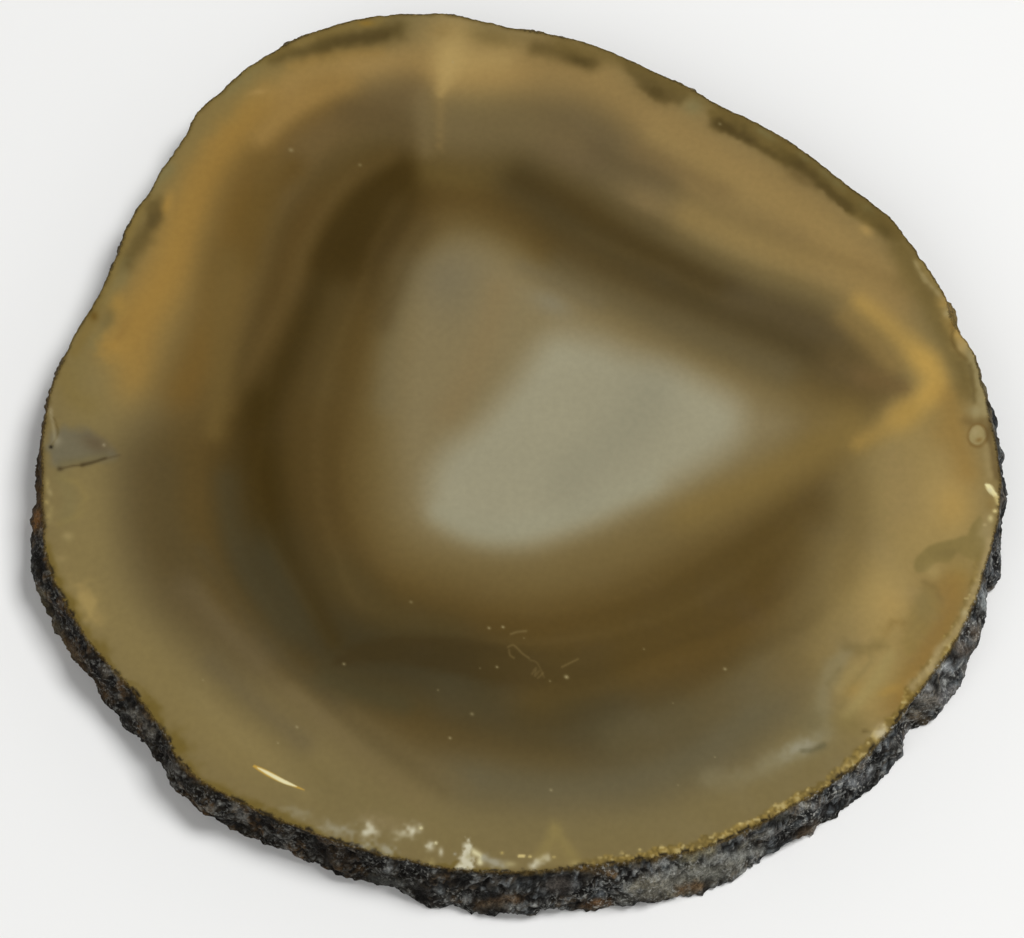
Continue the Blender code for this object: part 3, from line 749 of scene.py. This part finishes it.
def noise_at(points, size, octaves=1, shift=0.0):
    """Smooth noise from about -1 to 1 at each point, with features of a size."""
    offset = Vector((shift, 2.3 * shift, -1.7 * shift))
    if octaves == 1:
        return np.array([noise.noise(Vector(p) / size + offset) for p in points])
    return np.array([noise.fractal(Vector(p) / size + offset, 0.7, 2.0, octaves) for p in points])


def grain_at(points, size):
    """Round grains of a size, 1 in the middle of each and 0 between them."""
    near = np.array([noise.voronoi(Vector(p) / size)[0][0] for p in points])
    return 1.0 - np.clip(near * 1.3, 0.0, 1.0) ** 2


def soften_ring(values, width):
    """Values round the slab, evened out along the ring."""
    reach = np.arange(-RING_REACH * width, RING_REACH * width + 1)
    weights = np.exp(-0.5 * (reach / width) ** 2)
    weights /= weights.sum()
    return sum(w * np.roll(values, int(k), axis=-1) for k, w in zip(reach, weights))


# The shape

def read_bark():
    """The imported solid's distance from the slab's axis, by height and angle."""
    solid = frame["nodes"][NODE].data
    tree = BVHTree.FromPolygons(
        [v.co for v in solid.vertices], [tuple(p.vertices) for p in solid.polygons])
    heights = np.linspace(0.0, THICKNESS, BARK_ROWS + 1)
    inside = np.clip(heights, READING_INSET, THICKNESS - READING_INSET)
    radii = np.zeros((len(heights), RIM_POINTS))
    for row, height in enumerate(inside):
        for k, angle in enumerate(ANGLES):
            way = Vector((math.cos(angle), math.sin(angle), 0.0))
            hit = tree.ray_cast(Vector((0.0, 0.0, height)), way)[0]
            radii[row, k] = math.hypot(hit.x, hit.y)
    return heights, soften_ring(radii, RING_SOFTNESS)


def ring_points(radii, heights):
    """Points of the bark from their radii, row by row."""
    x = radii * np.cos(ANGLES)
    y = radii * np.sin(ANGLES)
    z = np.broadcast_to(np.reshape(heights, (-1, 1)), radii.shape)
    return np.stack([x, y, z], axis=-1).reshape(-1, 3)


def bark_relief(points, below):
    """Fine relief of the bark in metres: lumps, grains and pits, faint at the polished face."""
    relief = LUMP_HEIGHT * noise_at(points, LUMP_SIZE, 3)
    relief += GRAIN_HEIGHT * (grain_at(points, GRAIN_SIZE) - 0.5)
    relief += FINE_GRAIN_HEIGHT * (grain_at(points, FINE_GRAIN_SIZE) - 0.5)
    relief -= HOLLOW_DEPTH * smooth((noise_at(points, HOLLOW_SIZE, 2, 5.0) - 0.1) / 0.25)
    strength = RELIEF_AT_FACE + (1.0 - RELIEF_AT_FACE) * smooth(below / RELIEF_FADE)
    ragged = RAGGED_HEIGHTS[0] * noise_at(points, RAGGED_SIZES[0], 2, 4.0)
    ragged += RAGGED_HEIGHTS[1] * noise_at(points, RAGGED_SIZES[1], 1, 6.0)
    return (relief * strength + ragged) * MM


def detail_zones():
    """Places of the polished face with small markings: middle, half sizes and spacing there."""
    specks = [(middle, *SPECK_PLACE) for middle, size, strength in DUST_SPECKS]
    return [(on_face(pixel), half[0] * MM, half[1] * MM, spacing * MM)
            for pixel, half, spacing in FINE_PLACES + specks]


def hexagonal_grid(low, high, spacing):
    """Points in staggered rows over a box."""
    rows = np.arange(low[1], high[1], spacing * math.sqrt(3) / 2)
    columns = np.arange(low[0], high[0], spacing)
    x, y = np.meshgrid(columns, rows)
    x = x + np.where(np.arange(len(rows)) % 2, spacing / 2, 0.0)[:, None]
    return np.column_stack([x.ravel(), y.ravel()])


def depth_inside(points, rim):
    """How far points of a face lie inside its rim, in metres."""
    angle = np.arctan2(points[:, 1], points[:, 0]) % math.tau
    edge = np.interp(angle, ANGLES, rim, period=math.tau)
    return edge - np.hypot(points[:, 0], points[:, 1])


def face_points(rim, spacing, fine=()):
    """Points over a flat face, closer together in the places that need it."""
    reach = rim.max()
    low, high = (-reach, -reach), (reach, reach)
    grid = hexagonal_grid(low, high, spacing)
    depth = depth_inside(grid, rim)
    layers = [grid[(depth > RIM_BAND) if fine else (depth > spacing / 2)]]
    if not fine:
        return layers[0]
    near = hexagonal_grid(low, high, RIM_SPACING)
    depth = depth_inside(near, rim)
    layers.append(near[(depth > RIM_CLEARANCE) & (depth <= RIM_BAND)])
    inset = rim - EDGE_INSET
    layers.append(np.column_stack([inset * np.cos(ANGLES), inset * np.sin(ANGLES)]))
    for middle, half_x, half_y, step in fine:
        for k, layer in enumerate(layers):
            away = np.hypot((layer[:, 0] - middle[0]) / half_x, (layer[:, 1] - middle[1]) / half_y)
            depth = depth_inside(layer, rim)
            layers[k] = layer[(away > 1.0) | (depth < EDGE_CLEARANCE)]
        patch = hexagonal_grid((middle[0] - half_x, middle[1] - half_y),
                               (middle[0] + half_x, middle[1] + half_y), step)
        away = np.hypot((patch[:, 0] - middle[0]) / half_x, (patch[:, 1] - middle[1]) / half_y)
        depth = depth_inside(patch, rim)
        layers.append(patch[(away <= 1.0) & (depth > EDGE_CLEARANCE)])
    return np.vstack(layers)


def triangles_over(rim_xy, inner):
    """Triangles over a face, with its rim points first."""
    points = np.vstack([rim_xy, inner])
    ring = [(k, (k + 1) % len(rim_xy)) for k in range(len(rim_xy))]
    made = delaunay_2d_cdt([Vector(p) for p in points], ring, [], 1, MERGE_DISTANCE)
    assert len(made[0]) == len(points)
    return made[2]


# Markings: how zones, strokes and spots are laid on

def ripple(places, size, shift=0):
    """Smooth random values from -1 to 1 over the photograph, with features of a size in pixels."""
    cell = np.asarray(places, float) / size + GRID_START
    corner = np.floor(cell).astype(np.int64)
    share = smooth(cell - corner)

    def at_corner(right, down):
        n = (corner[:, 0] + right) * ACROSS_STEP + (corner[:, 1] + down) * DOWN_STEP + shift * SHIFT_STEP
        n = (n ^ (n >> 13)) * SCATTER % 2 ** 32
        return ((n ^ (n >> 16)) & 65535) / 32767.5 - 1.0

    upper = at_corner(0, 0) * (1 - share[:, 0]) + at_corner(1, 0) * share[:, 0]
    lower = at_corner(0, 1) * (1 - share[:, 0]) + at_corner(1, 1) * share[:, 0]
    return upper * (1 - share[:, 1]) + lower * share[:, 1]


def curve_through(points, closed=False):
    """A smooth line through points (Catmull-Rom)."""
    p = np.asarray(points, float)
    if closed:
        q = np.vstack([p[-1], p, p[0], p[1]])
    else:
        q = np.vstack([2 * p[0] - p[1], p, 2 * p[-1] - p[-2]])
    line = []
    for a, b, c, d in zip(q, q[1:], q[2:], q[3:]):
        bend = 2 * a - 5 * b + 4 * c - d
        turn = 3 * b - a - 3 * c + d
        for t in np.arange(CURVE_STEPS) / CURVE_STEPS:
            line.append(b + 0.5 * t * (c - a + t * (bend + t * turn)))
    if not closed:
        line.append(p[-1])
    return np.array(line)


def distance_to(places, line, closed=False):
    """Distance from places to a line, and how far along the line the nearest point is, from 0 to 1."""
    ends = np.roll(line, -1, 0) if closed else line[1:]
    starts = line if closed else line[:-1]
    nearest = np.full(len(places), np.inf)
    along = np.zeros(len(places))
    for k, (start, end) in enumerate(zip(starts, ends)):
        way = end - start
        share = np.clip((places - start) @ way / max(way @ way, 1e-9), 0.0, 1.0)
        away = np.hypot(*(places - start - share[:, None] * way).T)
        closer = away < nearest
        nearest[closer] = away[closer]
        along[closer] = (k + share[closer]) / len(starts)
    return nearest, along


def is_inside(places, ring):
    """True for places inside a closed ring."""
    x, y = places.T
    crossings = np.zeros(len(places), bool)
    for a, b in zip(ring, np.roll(ring, -1, 0)):
        if a[1] != b[1]:
            spans = (a[1] > y) != (b[1] > y)
            crossings ^= spans & (x < (b[0] - a[0]) * (y - a[1]) / (b[1] - a[1]) + a[0])
    return crossings


class Paint:
    """Colours of places in the photograph's pixels, laid on one mark after another."""

    def __init__(self, places, base):
        self.places = places
        self.colour = np.tile(np.array(base, float), (len(places), 1))

    def near(self, points, reach):
        """The places close enough to some points to be touched by a mark."""
        low = np.min(points, axis=0) - reach
        high = np.max(points, axis=0) + reach
        return np.flatnonzero(((self.places > low) & (self.places < high)).all(axis=1))

    def lay(self, weight, colour, which=slice(None)):
        """Mixes a colour in, by a weight from 0 to 1 for each place."""
        weight = np.clip(weight, 0.0, 1.0)[:, None]
        self.colour[which] = self.colour[which] * (1.0 - weight) + np.array(colour, float) * weight

    def draw(self, marks):
        """Lays marks one after another."""
        ways = {Zone: self.zone, Stroke: self.stroke, Spot: self.spot}
        for mark in marks:
            ways[type(mark)](*mark)

    def zone(self, ring, soft, colour, strength, rough, grain):
        """Fills a closed ring. Its edge fades over soft pixels each way, and wavers by rough pixels."""
        which = self.near(ring, soft + rough + ZONE_MARGIN)
        places = self.places[which]
        line = curve_through(ring, closed=True)
        away = distance_to(places, line, closed=True)[0]
        away = np.where(is_inside(places, line), -away, away)
        if rough:
            away = away + rough * ripple(places, grain, len(ring))
        self.lay(strength * smooth(0.5 - away / (2.0 * soft)), colour, which)

    def stroke(self, path, width, colour, strength, end_width, rough, grain):
        """A soft line, which can narrow or widen towards its end and waver by rough pixels."""
        reach = FADE_REACH * max(width, end_width or 0.0) + rough
        which = self.near(path, reach)
        places = self.places[which]
        line = curve_through(path) if len(path) > 2 else np.asarray(path, float)
        away, along = distance_to(places, line)
        if end_width is not None:
            width = width + (end_width - width) * along
        if rough:
            away = np.maximum(0.0, away + rough * ripple(places, grain, len(path)))
        self.lay(strength * np.exp(-(away / width) ** 2), colour, which)

    def spot(self, middle, half, colour, strength, turn, rough, grain):
        """A soft oval, turned clockwise by degrees, with an outline that can waver."""
        which = self.near([middle], FADE_REACH * max(half) * (1.0 + rough))
        a = math.radians(turn)
        x, y = (self.places[which] - np.array(middle, float)).T
        across = (x * math.cos(a) + y * math.sin(a)) / half[0]
        down = (y * math.cos(a) - x * math.sin(a)) / half[1]
        away = np.hypot(across, down)
        if rough:
            away = np.maximum(0.0, away + rough * ripple(self.places[which], grain, 3))
        self.lay(strength * np.exp(-away ** 2), colour, which)


def linear(colour):
    """Screen colours, 0 to 255, as light."""
    share = np.clip(np.asarray(colour, float) / 255.0, 0.0, 1.0)
    return np.where(share <= 0.04045, share / 12.92, ((share + 0.055) / 1.055) ** 2.4)


# Painting the slab

def past(values, edge):
    """A soft step from 0 to 1 where values pass an edge, given as its start and its reach."""
    start, reach = edge
    return smooth((values - start) / reach)


def before(values, edge):
    """A soft step from 1 to 0 where values come to an edge, given as its end and its reach."""
    end, reach = edge
    return smooth((end - values) / reach)


def lay_growth_lines(face):
    """Faint fine lines that follow the outline of the core, as the agate grew inwards."""
    halo = curve_through(CORE_HALO, closed=True)
    away = distance_to(face.places, halo, closed=True)[0]
    away[is_inside(face.places, halo)] *= -1.0
    wander = LINE_WANDER * ripple(face.places, WANDER_SIZE, 21)
    across = np.column_stack([away + wander, np.zeros(len(away))])
    line = ripple(across, FINE_LINE, 22) + 0.7 * ripple(across, BROAD_LINE, 23)
    shown = past(away, LINES_START) * before(away, LINES_END)
    shown *= smooth(0.55 + 0.9 * ripple(face.places, 110.0, 24))
    face.lay(LIGHT_LINES * shown * smooth(line / 1.2), LIGHT_LINE)
    face.lay(DARK_LINES * shown * smooth(-line / 1.2), DARK_LINE)


def lay_crust(face, depth):
    """The thin granular crust between the polished face and the bark, and the stains beside it."""
    px = face.places
    across, down = px.T
    thin = smooth(1.0 - (depth / MM - 0.25 * ripple(px, 9.0, 7)) / 0.7)
    face.lay(0.6 * thin, RIM_SHADE)

    front = past(down, CRUST_TOP) * past(across, CRUST_LEFT)
    sugar = ripple(px, 2.6, 1) + 0.5 * ripple(px, 4.5, 2) + 0.5 * ripple(px, 12.0, 3)
    width = (CRUST_WIDTH + 0.4 * ripple(px, 16.0, 4) + 0.3 * ripple(px, 5.0, 14)) * MM
    width += CRUST_EXTRA_WIDTH * MM * past(across, CRUST_WIDENING)
    band = front * smooth((width - depth) / (0.35 * MM))
    face.lay(0.65 * band, CRUST_OLIVE)
    face.lay(0.9 * band * smooth((sugar + 0.2) / 0.6), CRUST)
    face.lay(0.9 * band * smooth((sugar - 0.5) / 0.4), CRUST_PALE)

    left = before(across, CRUST_LEFT) * past(down, STAINS_TOP)
    width = (STAIN_WIDTH + 0.95 * ripple(px, 24.0, 5) + 0.5 * ripple(px, 6.0, 6)) * MM
    face.lay(0.7 * left * smooth((width - depth) / (0.6 * MM)), STAIN)
    face.draw(STAIN_MARKS)

    ragged = 0.18 + 0.4 * ripple(px, 9.0, 8) + 0.3 * ripple(px, 4.0, 9)
    low = past(down, RAGGED_TOP) * before(across, RAGGED_RIGHT)
    face.lay(0.9 * low * smooth((ragged - depth / MM) / 0.25 + 0.5), BARK_BLACK)


def paint_face(points, depth, polished=True):
    """Colours of points on the polished or sawn face, whose depth inside the rim is known."""
    level = np.column_stack([points[:, :2], np.full(len(points), THICKNESS)])
    face = Paint(to_pixels(level), OLIVE)
    face.draw(RIM_COLOURS + BANDS)
    lay_growth_lines(face)
    face.draw(CORE_MARKS + SEAMS)
    if polished:
        face.draw(RIM_SPOTS + LEFT_WEDGE + RIGHT_FLAWS + FRONT_WISPS)
        lay_crust(face, depth)
        face.draw(RIGHT_CRUST + FRONT_CRYSTALS + GLINT_AND_SCRATCHES)
    return np.column_stack([linear(face.colour), np.zeros(len(points))])


def paint_bark(points, below, relief):
    """Colours of the bark: near black at the left, slate and pale grains round to the right."""
    bark = Paint(to_pixels(points), BARK_BLACK)
    across = points[:, 0] / MM
    down = below * THICKNESS / MM
    back = past(points[:, 1] / MM, BACK_FROM)
    slate = past(across, SLATE_FROM)
    grey = past(across, GREY_FROM)
    bark.lay(0.85 * slate, BARK_SLATE)
    bark.lay(0.9 * grey, BARK_STONE)
    rusty = smooth((noise_at(points, 3.6 * MM, 2, 3.0) - 0.02) / 0.3)
    bark.lay((0.7 - 0.3 * slate) * rusty, BARK_RUST)
    broad = noise_at(points, 2.8 * MM, 2, 12.0)
    bark.lay((0.3 + 0.25 * slate) * smooth((broad - 0.03) / 0.15), BARK_INK)
    bark.lay(0.35 * slate * smooth((-0.12 - broad) / 0.15), BARK_TAN)
    pale = noise_at(points, 0.75 * MM, 2, 9.0) + 0.4 * noise_at(points, 6.0 * MM, 1, 8.0) - 0.5 * broad
    bark.lay(0.7 * smooth((-0.12 - pale) / 0.3), BARK_DARK_AND_PIT_SHADE)
    bark.lay((0.45 + 0.3 * slate) * smooth((pale - 0.2) / 0.25), BARK_GREY)
    bark.lay((0.35 + 0.4 * slate) * smooth((pale - 0.5) / 0.25), BARK_PALE)
    # Painted shade: the hollows of the relief are darkened to near black
    bark.lay(0.85 * smooth((0.02 - relief / MM) / 0.25), BARK_DARK_AND_PIT_SHADE)
    bark.draw(BARK_MARKS)
    worn = smooth(1.0 - (down - 0.25 * noise_at(points, 1.3 * MM, 2, 5.0)) / 0.45)
    bark.lay(0.8 * worn * (1.0 - back), STAIN_BROWN)
    bark.lay(0.95 * smooth(1.6 - down / 2.0) * back, RIM_SHADE)
    bark.draw([GOLDEN_KNOB])

    specks = (0.35 + 0.3 * slate + 0.15 * grey) * smooth(0.6 + 1.2 * noise_at(points, 4.5 * MM, 2, 7.0))
    specks *= past(bark.places[:, 1], SPECKS_TOP)
    return np.column_stack([linear(bark.colour), specks])


# Building the mesh

def bark_faces():
    """Four-sided faces between the rows of the bark's points."""
    faces = []
    for row in range(BARK_ROWS):
        for k in range(RIM_POINTS):
            a = row * RIM_POINTS + k
            b = row * RIM_POINTS + (k + 1) % RIM_POINTS
            faces.append((a, b, b + RIM_POINTS, a + RIM_POINTS))
    return faces


def renumbered(face, first_rim, first_inner):
    """A face's points as numbers in the whole mesh, where its first RIM_POINTS are the rim's."""
    return [first_rim + k if k < RIM_POINTS else first_inner + k - RIM_POINTS for k in face]


def mark_sharp_edges(mesh, last_row, first_top):
    """The edges round the polished face and round the underside stay sharp."""
    sharp = mesh.attributes.new("sharp_edge", 'BOOLEAN', 'EDGE')
    ends = np.zeros(len(mesh.edges) * 2, int)
    mesh.edges.foreach_get("vertices", ends)
    ends = ends.reshape(-1, 2)
    foot = (ends < RIM_POINTS).all(1)
    brow = ((ends >= last_row) & (ends < first_top)).all(1)
    sharp.data.foreach_set("value", foot | brow)


def build_slice():
    """The closed mesh, with its colours kept on its points."""
    heights, radii = read_bark()
    plain = ring_points(radii, heights)
    below = np.repeat(1.0 - heights / THICKNESS, RIM_POINTS)
    relief = bark_relief(plain, below)
    radii = radii + relief.reshape(radii.shape)
    bark = ring_points(radii, heights)

    worn = np.clip(noise_at(bark[-RIM_POINTS:], WORN_SIZE, 2, 2.0), 0.0, 1.0)
    bark[-RIM_POINTS:, 2] -= (WORN_LEAST + WORN_MORE * worn) * MM

    top_inner = face_points(radii[-1], FACE_SPACING, detail_zones())
    under_inner = face_points(radii[0], UNDERSIDE_SPACING)
    top_faces = triangles_over(bark[-RIM_POINTS:, :2], top_inner)
    under_faces = triangles_over(bark[:RIM_POINTS, :2], under_inner)

    top = np.column_stack([top_inner, np.full(len(top_inner), THICKNESS)])
    under = np.column_stack([under_inner, np.zeros(len(under_inner))])
    points = np.vstack([bark, top, under])
    first_top = len(bark)
    first_under = first_top + len(top)
    last_row = len(bark) - RIM_POINTS

    faces = bark_faces()
    bark_count = len(faces)
    looks = [BARK_LOOK] * bark_count
    for face in top_faces:
        faces.append(renumbered(face, last_row, first_top))
        looks.append(BARK_LOOK if min(face) < RIM_POINTS else POLISHED_LOOK)
    for face in under_faces:
        faces.append(renumbered(reversed(face), 0, first_under))
        looks.append(SAWN_LOOK)

    top_depth = depth_inside(top, radii[-1])
    under_depth = depth_inside(under, radii[0])
    tint = np.vstack([paint_bark(bark, below, relief), paint_face(top, top_depth),
                      paint_face(under, under_depth, polished=False)])

    mesh = bpy.data.meshes.new("agate_slab")
    mesh.from_pydata([tuple(p) for p in points], [], faces)
    mesh.polygons.foreach_set("material_index", looks)
    colours = mesh.attributes.new("tint", 'FLOAT_COLOR', 'POINT')
    colours.data.foreach_set("color", tint.ravel())
    mesh.polygons.foreach_set("use_smooth", [k < bark_count for k in range(len(faces))])
    mark_sharp_edges(mesh, last_row, first_top)
    mesh.update()
    return mesh


# Materials

def new_material(name):
    """A new material with its node tree and its shader."""
    material = bpy.data.materials.new(name)
    material.use_nodes = True
    tree = material.node_tree
    return material, tree, tree.nodes["Principled BSDF"]


def add_noise(tree, size, detail, roughness=0.5):
    """A noise texture in the slab's own space with features of a size in metres."""
    place = tree.nodes.new("ShaderNodeTexCoord")
    texture = tree.nodes.new("ShaderNodeTexNoise")
    texture.inputs["Scale"].default_value = 1.0 / size
    texture.inputs["Detail"].default_value = detail
    texture.inputs["Roughness"].default_value = roughness
    tree.links.new(place.outputs["Object"], texture.inputs["Vector"])
    return texture.outputs["Fac"]


def add_range(tree, value, low, high, from_low=0.3, from_high=0.7):
    """A value spread over a new range."""
    spread = tree.nodes.new("ShaderNodeMapRange")
    spread.inputs["From Min"].default_value = from_low
    spread.inputs["From Max"].default_value = from_high
    spread.inputs["To Min"].default_value = low
    spread.inputs["To Max"].default_value = high
    tree.links.new(value, spread.inputs["Value"])
    return spread.outputs["Result"]


def add_scaled(tree, colour, factors):
    """A colour multiplied by each of some factors."""
    for factor in factors:
        scale = tree.nodes.new("ShaderNodeVectorMath")
        scale.operation = 'SCALE'
        tree.links.new(colour, scale.inputs[0])
        tree.links.new(factor, scale.inputs["Scale"])
        colour = scale.outputs["Vector"]
    return colour


def add_bump(tree, shader, height, distance, strength):
    """Unevenness of the shader's surface, up to a distance in metres."""
    bump = tree.nodes.new("ShaderNodeBump")
    bump.inputs["Strength"].default_value = strength
    bump.inputs["Distance"].default_value = distance
    tree.links.new(height, bump.inputs["Height"])
    tree.links.new(bump.outputs["Normal"], shader.inputs["Normal"])


def add_tint(tree):
    """The colour that is kept on the mesh's points."""
    tint = tree.nodes.new("ShaderNodeAttribute")
    tint.attribute_name = "tint"
    return tint.outputs["Color"]


def polished_agate():
    """The polished face: clear-looking bands with a faint mottle under a gloss."""
    material, tree, shader = new_material("polished_agate")
    mottle = add_range(tree, add_noise(tree, size=0.9 * MM, detail=3), low=0.965, high=1.035)
    clouds = add_range(tree, add_noise(tree, size=14 * MM, detail=2), low=0.97, high=1.03)
    tree.links.new(add_scaled(tree, add_tint(tree), (mottle, clouds)), shader.inputs["Base Color"])
    gloss = add_range(tree, add_noise(tree, size=6 * MM, detail=4), low=0.08, high=0.2)
    tree.links.new(gloss, shader.inputs["Roughness"])
    shader.inputs["IOR"].default_value = STONE_IOR
    shader.inputs["Specular IOR Level"].default_value = POLISH_SHEEN
    waves = add_noise(tree, size=9 * MM, detail=2)
    add_bump(tree, shader, waves, distance=0.02 * MM, strength=0.2)
    return material


def rough_bark():
    """The bark: dark, grainy and dull, with pale specks where the tint's fourth value calls for them."""
    material, tree, shader = new_material("rough_bark")
    tint = add_tint(tree)
    pattern = add_noise(tree, size=0.5 * MM, detail=3, roughness=0.6)
    pattern = add_range(tree, pattern, low=0.0, high=1.0, from_low=0.53, from_high=0.66)
    specks = tree.nodes.new("ShaderNodeMath")
    specks.operation = 'MULTIPLY'
    tree.links.new(pattern, specks.inputs[0])
    tree.links.new(tint.node.outputs["Alpha"], specks.inputs[1])
    mixed = tree.nodes.new("ShaderNodeMix")
    mixed.data_type = 'RGBA'
    mixed.inputs["B"].default_value = SPECK_COLOUR
    tree.links.new(specks.outputs["Value"], mixed.inputs["Factor"])
    tree.links.new(tint, mixed.inputs["A"])
    grain = add_noise(tree, size=0.36 * MM, detail=4, roughness=0.7)
    grain = add_range(tree, grain, low=0.25, high=1.5)
    tree.links.new(add_scaled(tree, mixed.outputs["Result"], (grain,)), shader.inputs["Base Color"])
    dullness = add_range(tree, add_noise(tree, size=0.8 * MM, detail=3), low=0.5, high=0.9)
    tree.links.new(dullness, shader.inputs["Roughness"])
    shader.inputs["IOR"].default_value = STONE_IOR
    shader.inputs["Specular IOR Level"].default_value = BARK_SHEEN
    bumps = add_noise(tree, size=0.38 * MM, detail=5, roughness=0.65)
    add_bump(tree, shader, bumps, distance=0.25 * MM, strength=1.0)
    return material


def sawn_agate():
    """The underside: the same bands, dulled by the saw."""
    material, tree, shader = new_material("sawn_agate")
    mottle = add_range(tree, add_noise(tree, size=0.8 * MM, detail=4), low=0.92, high=1.08)
    tree.links.new(add_scaled(tree, add_tint(tree), (mottle,)), shader.inputs["Base Color"])
    dullness = add_range(tree, add_noise(tree, size=2 * MM, detail=3), low=0.45, high=0.65)
    tree.links.new(dullness, shader.inputs["Roughness"])
    shader.inputs["IOR"].default_value = STONE_IOR
    saw_marks = add_noise(tree, size=0.5 * MM, detail=3)
    add_bump(tree, shader, saw_marks, distance=0.03 * MM, strength=0.5)
    return material


# The studio

def make_floor():
    """A plain pale floor, just under the slab."""
    bm = bmesh.new()
    bmesh.ops.create_grid(bm, x_segments=1, y_segments=1, size=FLOOR_REACH)
    mesh = bpy.data.meshes.new("floor")
    bm.to_mesh(mesh)
    bm.free()
    floor = bpy.data.objects.new("floor", mesh)
    floor.location.z = -FLOOR_DROP
    bpy.context.scene.collection.objects.link(floor)
    material, tree, shader = new_material("pale_floor")
    shader.inputs["Base Color"].default_value = FLOOR_COLOUR
    shader.inputs["Roughness"].default_value = FLOOR_ROUGHNESS
    shader.inputs["Specular IOR Level"].default_value = FLOOR_SHEEN
    mesh.materials.append(material)


def make_camera():
    """The photograph's viewpoint."""
    camera = bpy.data.objects.new("camera", bpy.data.cameras.new("camera"))
    bpy.context.scene.collection.objects.link(camera)
    camera.data.lens = LENS
    camera.data.sensor_width = SENSOR
    camera.data.clip_start = CLIP_START
    camera.data.clip_end = CLIP_END
    camera.location = Vector(view_axes()[0])
    camera.rotation_euler = (math.pi / 2 - ELEVATION, 0.0, 0.0)
    bpy.context.scene.camera = camera


def make_lamp(name, azimuth, elevation, distance, size, power):
    """A soft square lamp that faces the slab from a direction, in degrees from +X towards +Y."""
    light = bpy.data.lights.new(name, 'AREA')
    light.size = size
    light.energy = power
    lamp = bpy.data.objects.new(name, light)
    a, e = math.radians(azimuth), math.radians(elevation)
    way = Vector((math.cos(e) * math.cos(a), math.cos(e) * math.sin(a), math.sin(e)))
    lamp.location = way * distance
    lamp.rotation_euler = way.to_track_quat('Z', 'Y').to_euler()
    bpy.context.scene.collection.objects.link(lamp)


def make_sky():
    """A pale room: bright round the horizon and darker overhead."""
    world = bpy.data.worlds.new("room")
    bpy.context.scene.world = world
    world.use_nodes = True
    tree = world.node_tree
    place = tree.nodes.new("ShaderNodeTexCoord")
    split = tree.nodes.new("ShaderNodeSeparateXYZ")
    tree.links.new(place.outputs["Generated"], split.inputs["Vector"])
    fade = tree.nodes.new("ShaderNodeMapRange")
    fade.interpolation_type = 'SMOOTHSTEP'
    fade.inputs["From Min"].default_value = SKY_HEIGHTS[0]
    fade.inputs["From Max"].default_value = SKY_HEIGHTS[1]
    fade.inputs["To Min"].default_value = SKY_STRENGTHS[0]
    fade.inputs["To Max"].default_value = SKY_STRENGTHS[1]
    tree.links.new(split.outputs["Z"], fade.inputs["Value"])
    background = tree.nodes["Background"]
    background.inputs["Color"].default_value = SKY_COLOUR
    tree.links.new(fade.outputs["Result"], background.inputs["Strength"])


def main():
    """Makes the slice and the studio round it."""
    mesh = build_slice()
    for material in (polished_agate(), rough_bark(), sawn_agate()):
        mesh.materials.append(material)
    piece = bpy.data.objects.new("agate_slab", mesh)
    bpy.context.scene.collection.objects.link(piece)
    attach(piece, "root")
    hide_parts(NODE)

    make_floor()
    make_sky()
    for lamp in LAMPS:
        make_lamp(*lamp)
    make_camera()
    bpy.context.scene.view_settings.view_transform = 'Standard'


main()
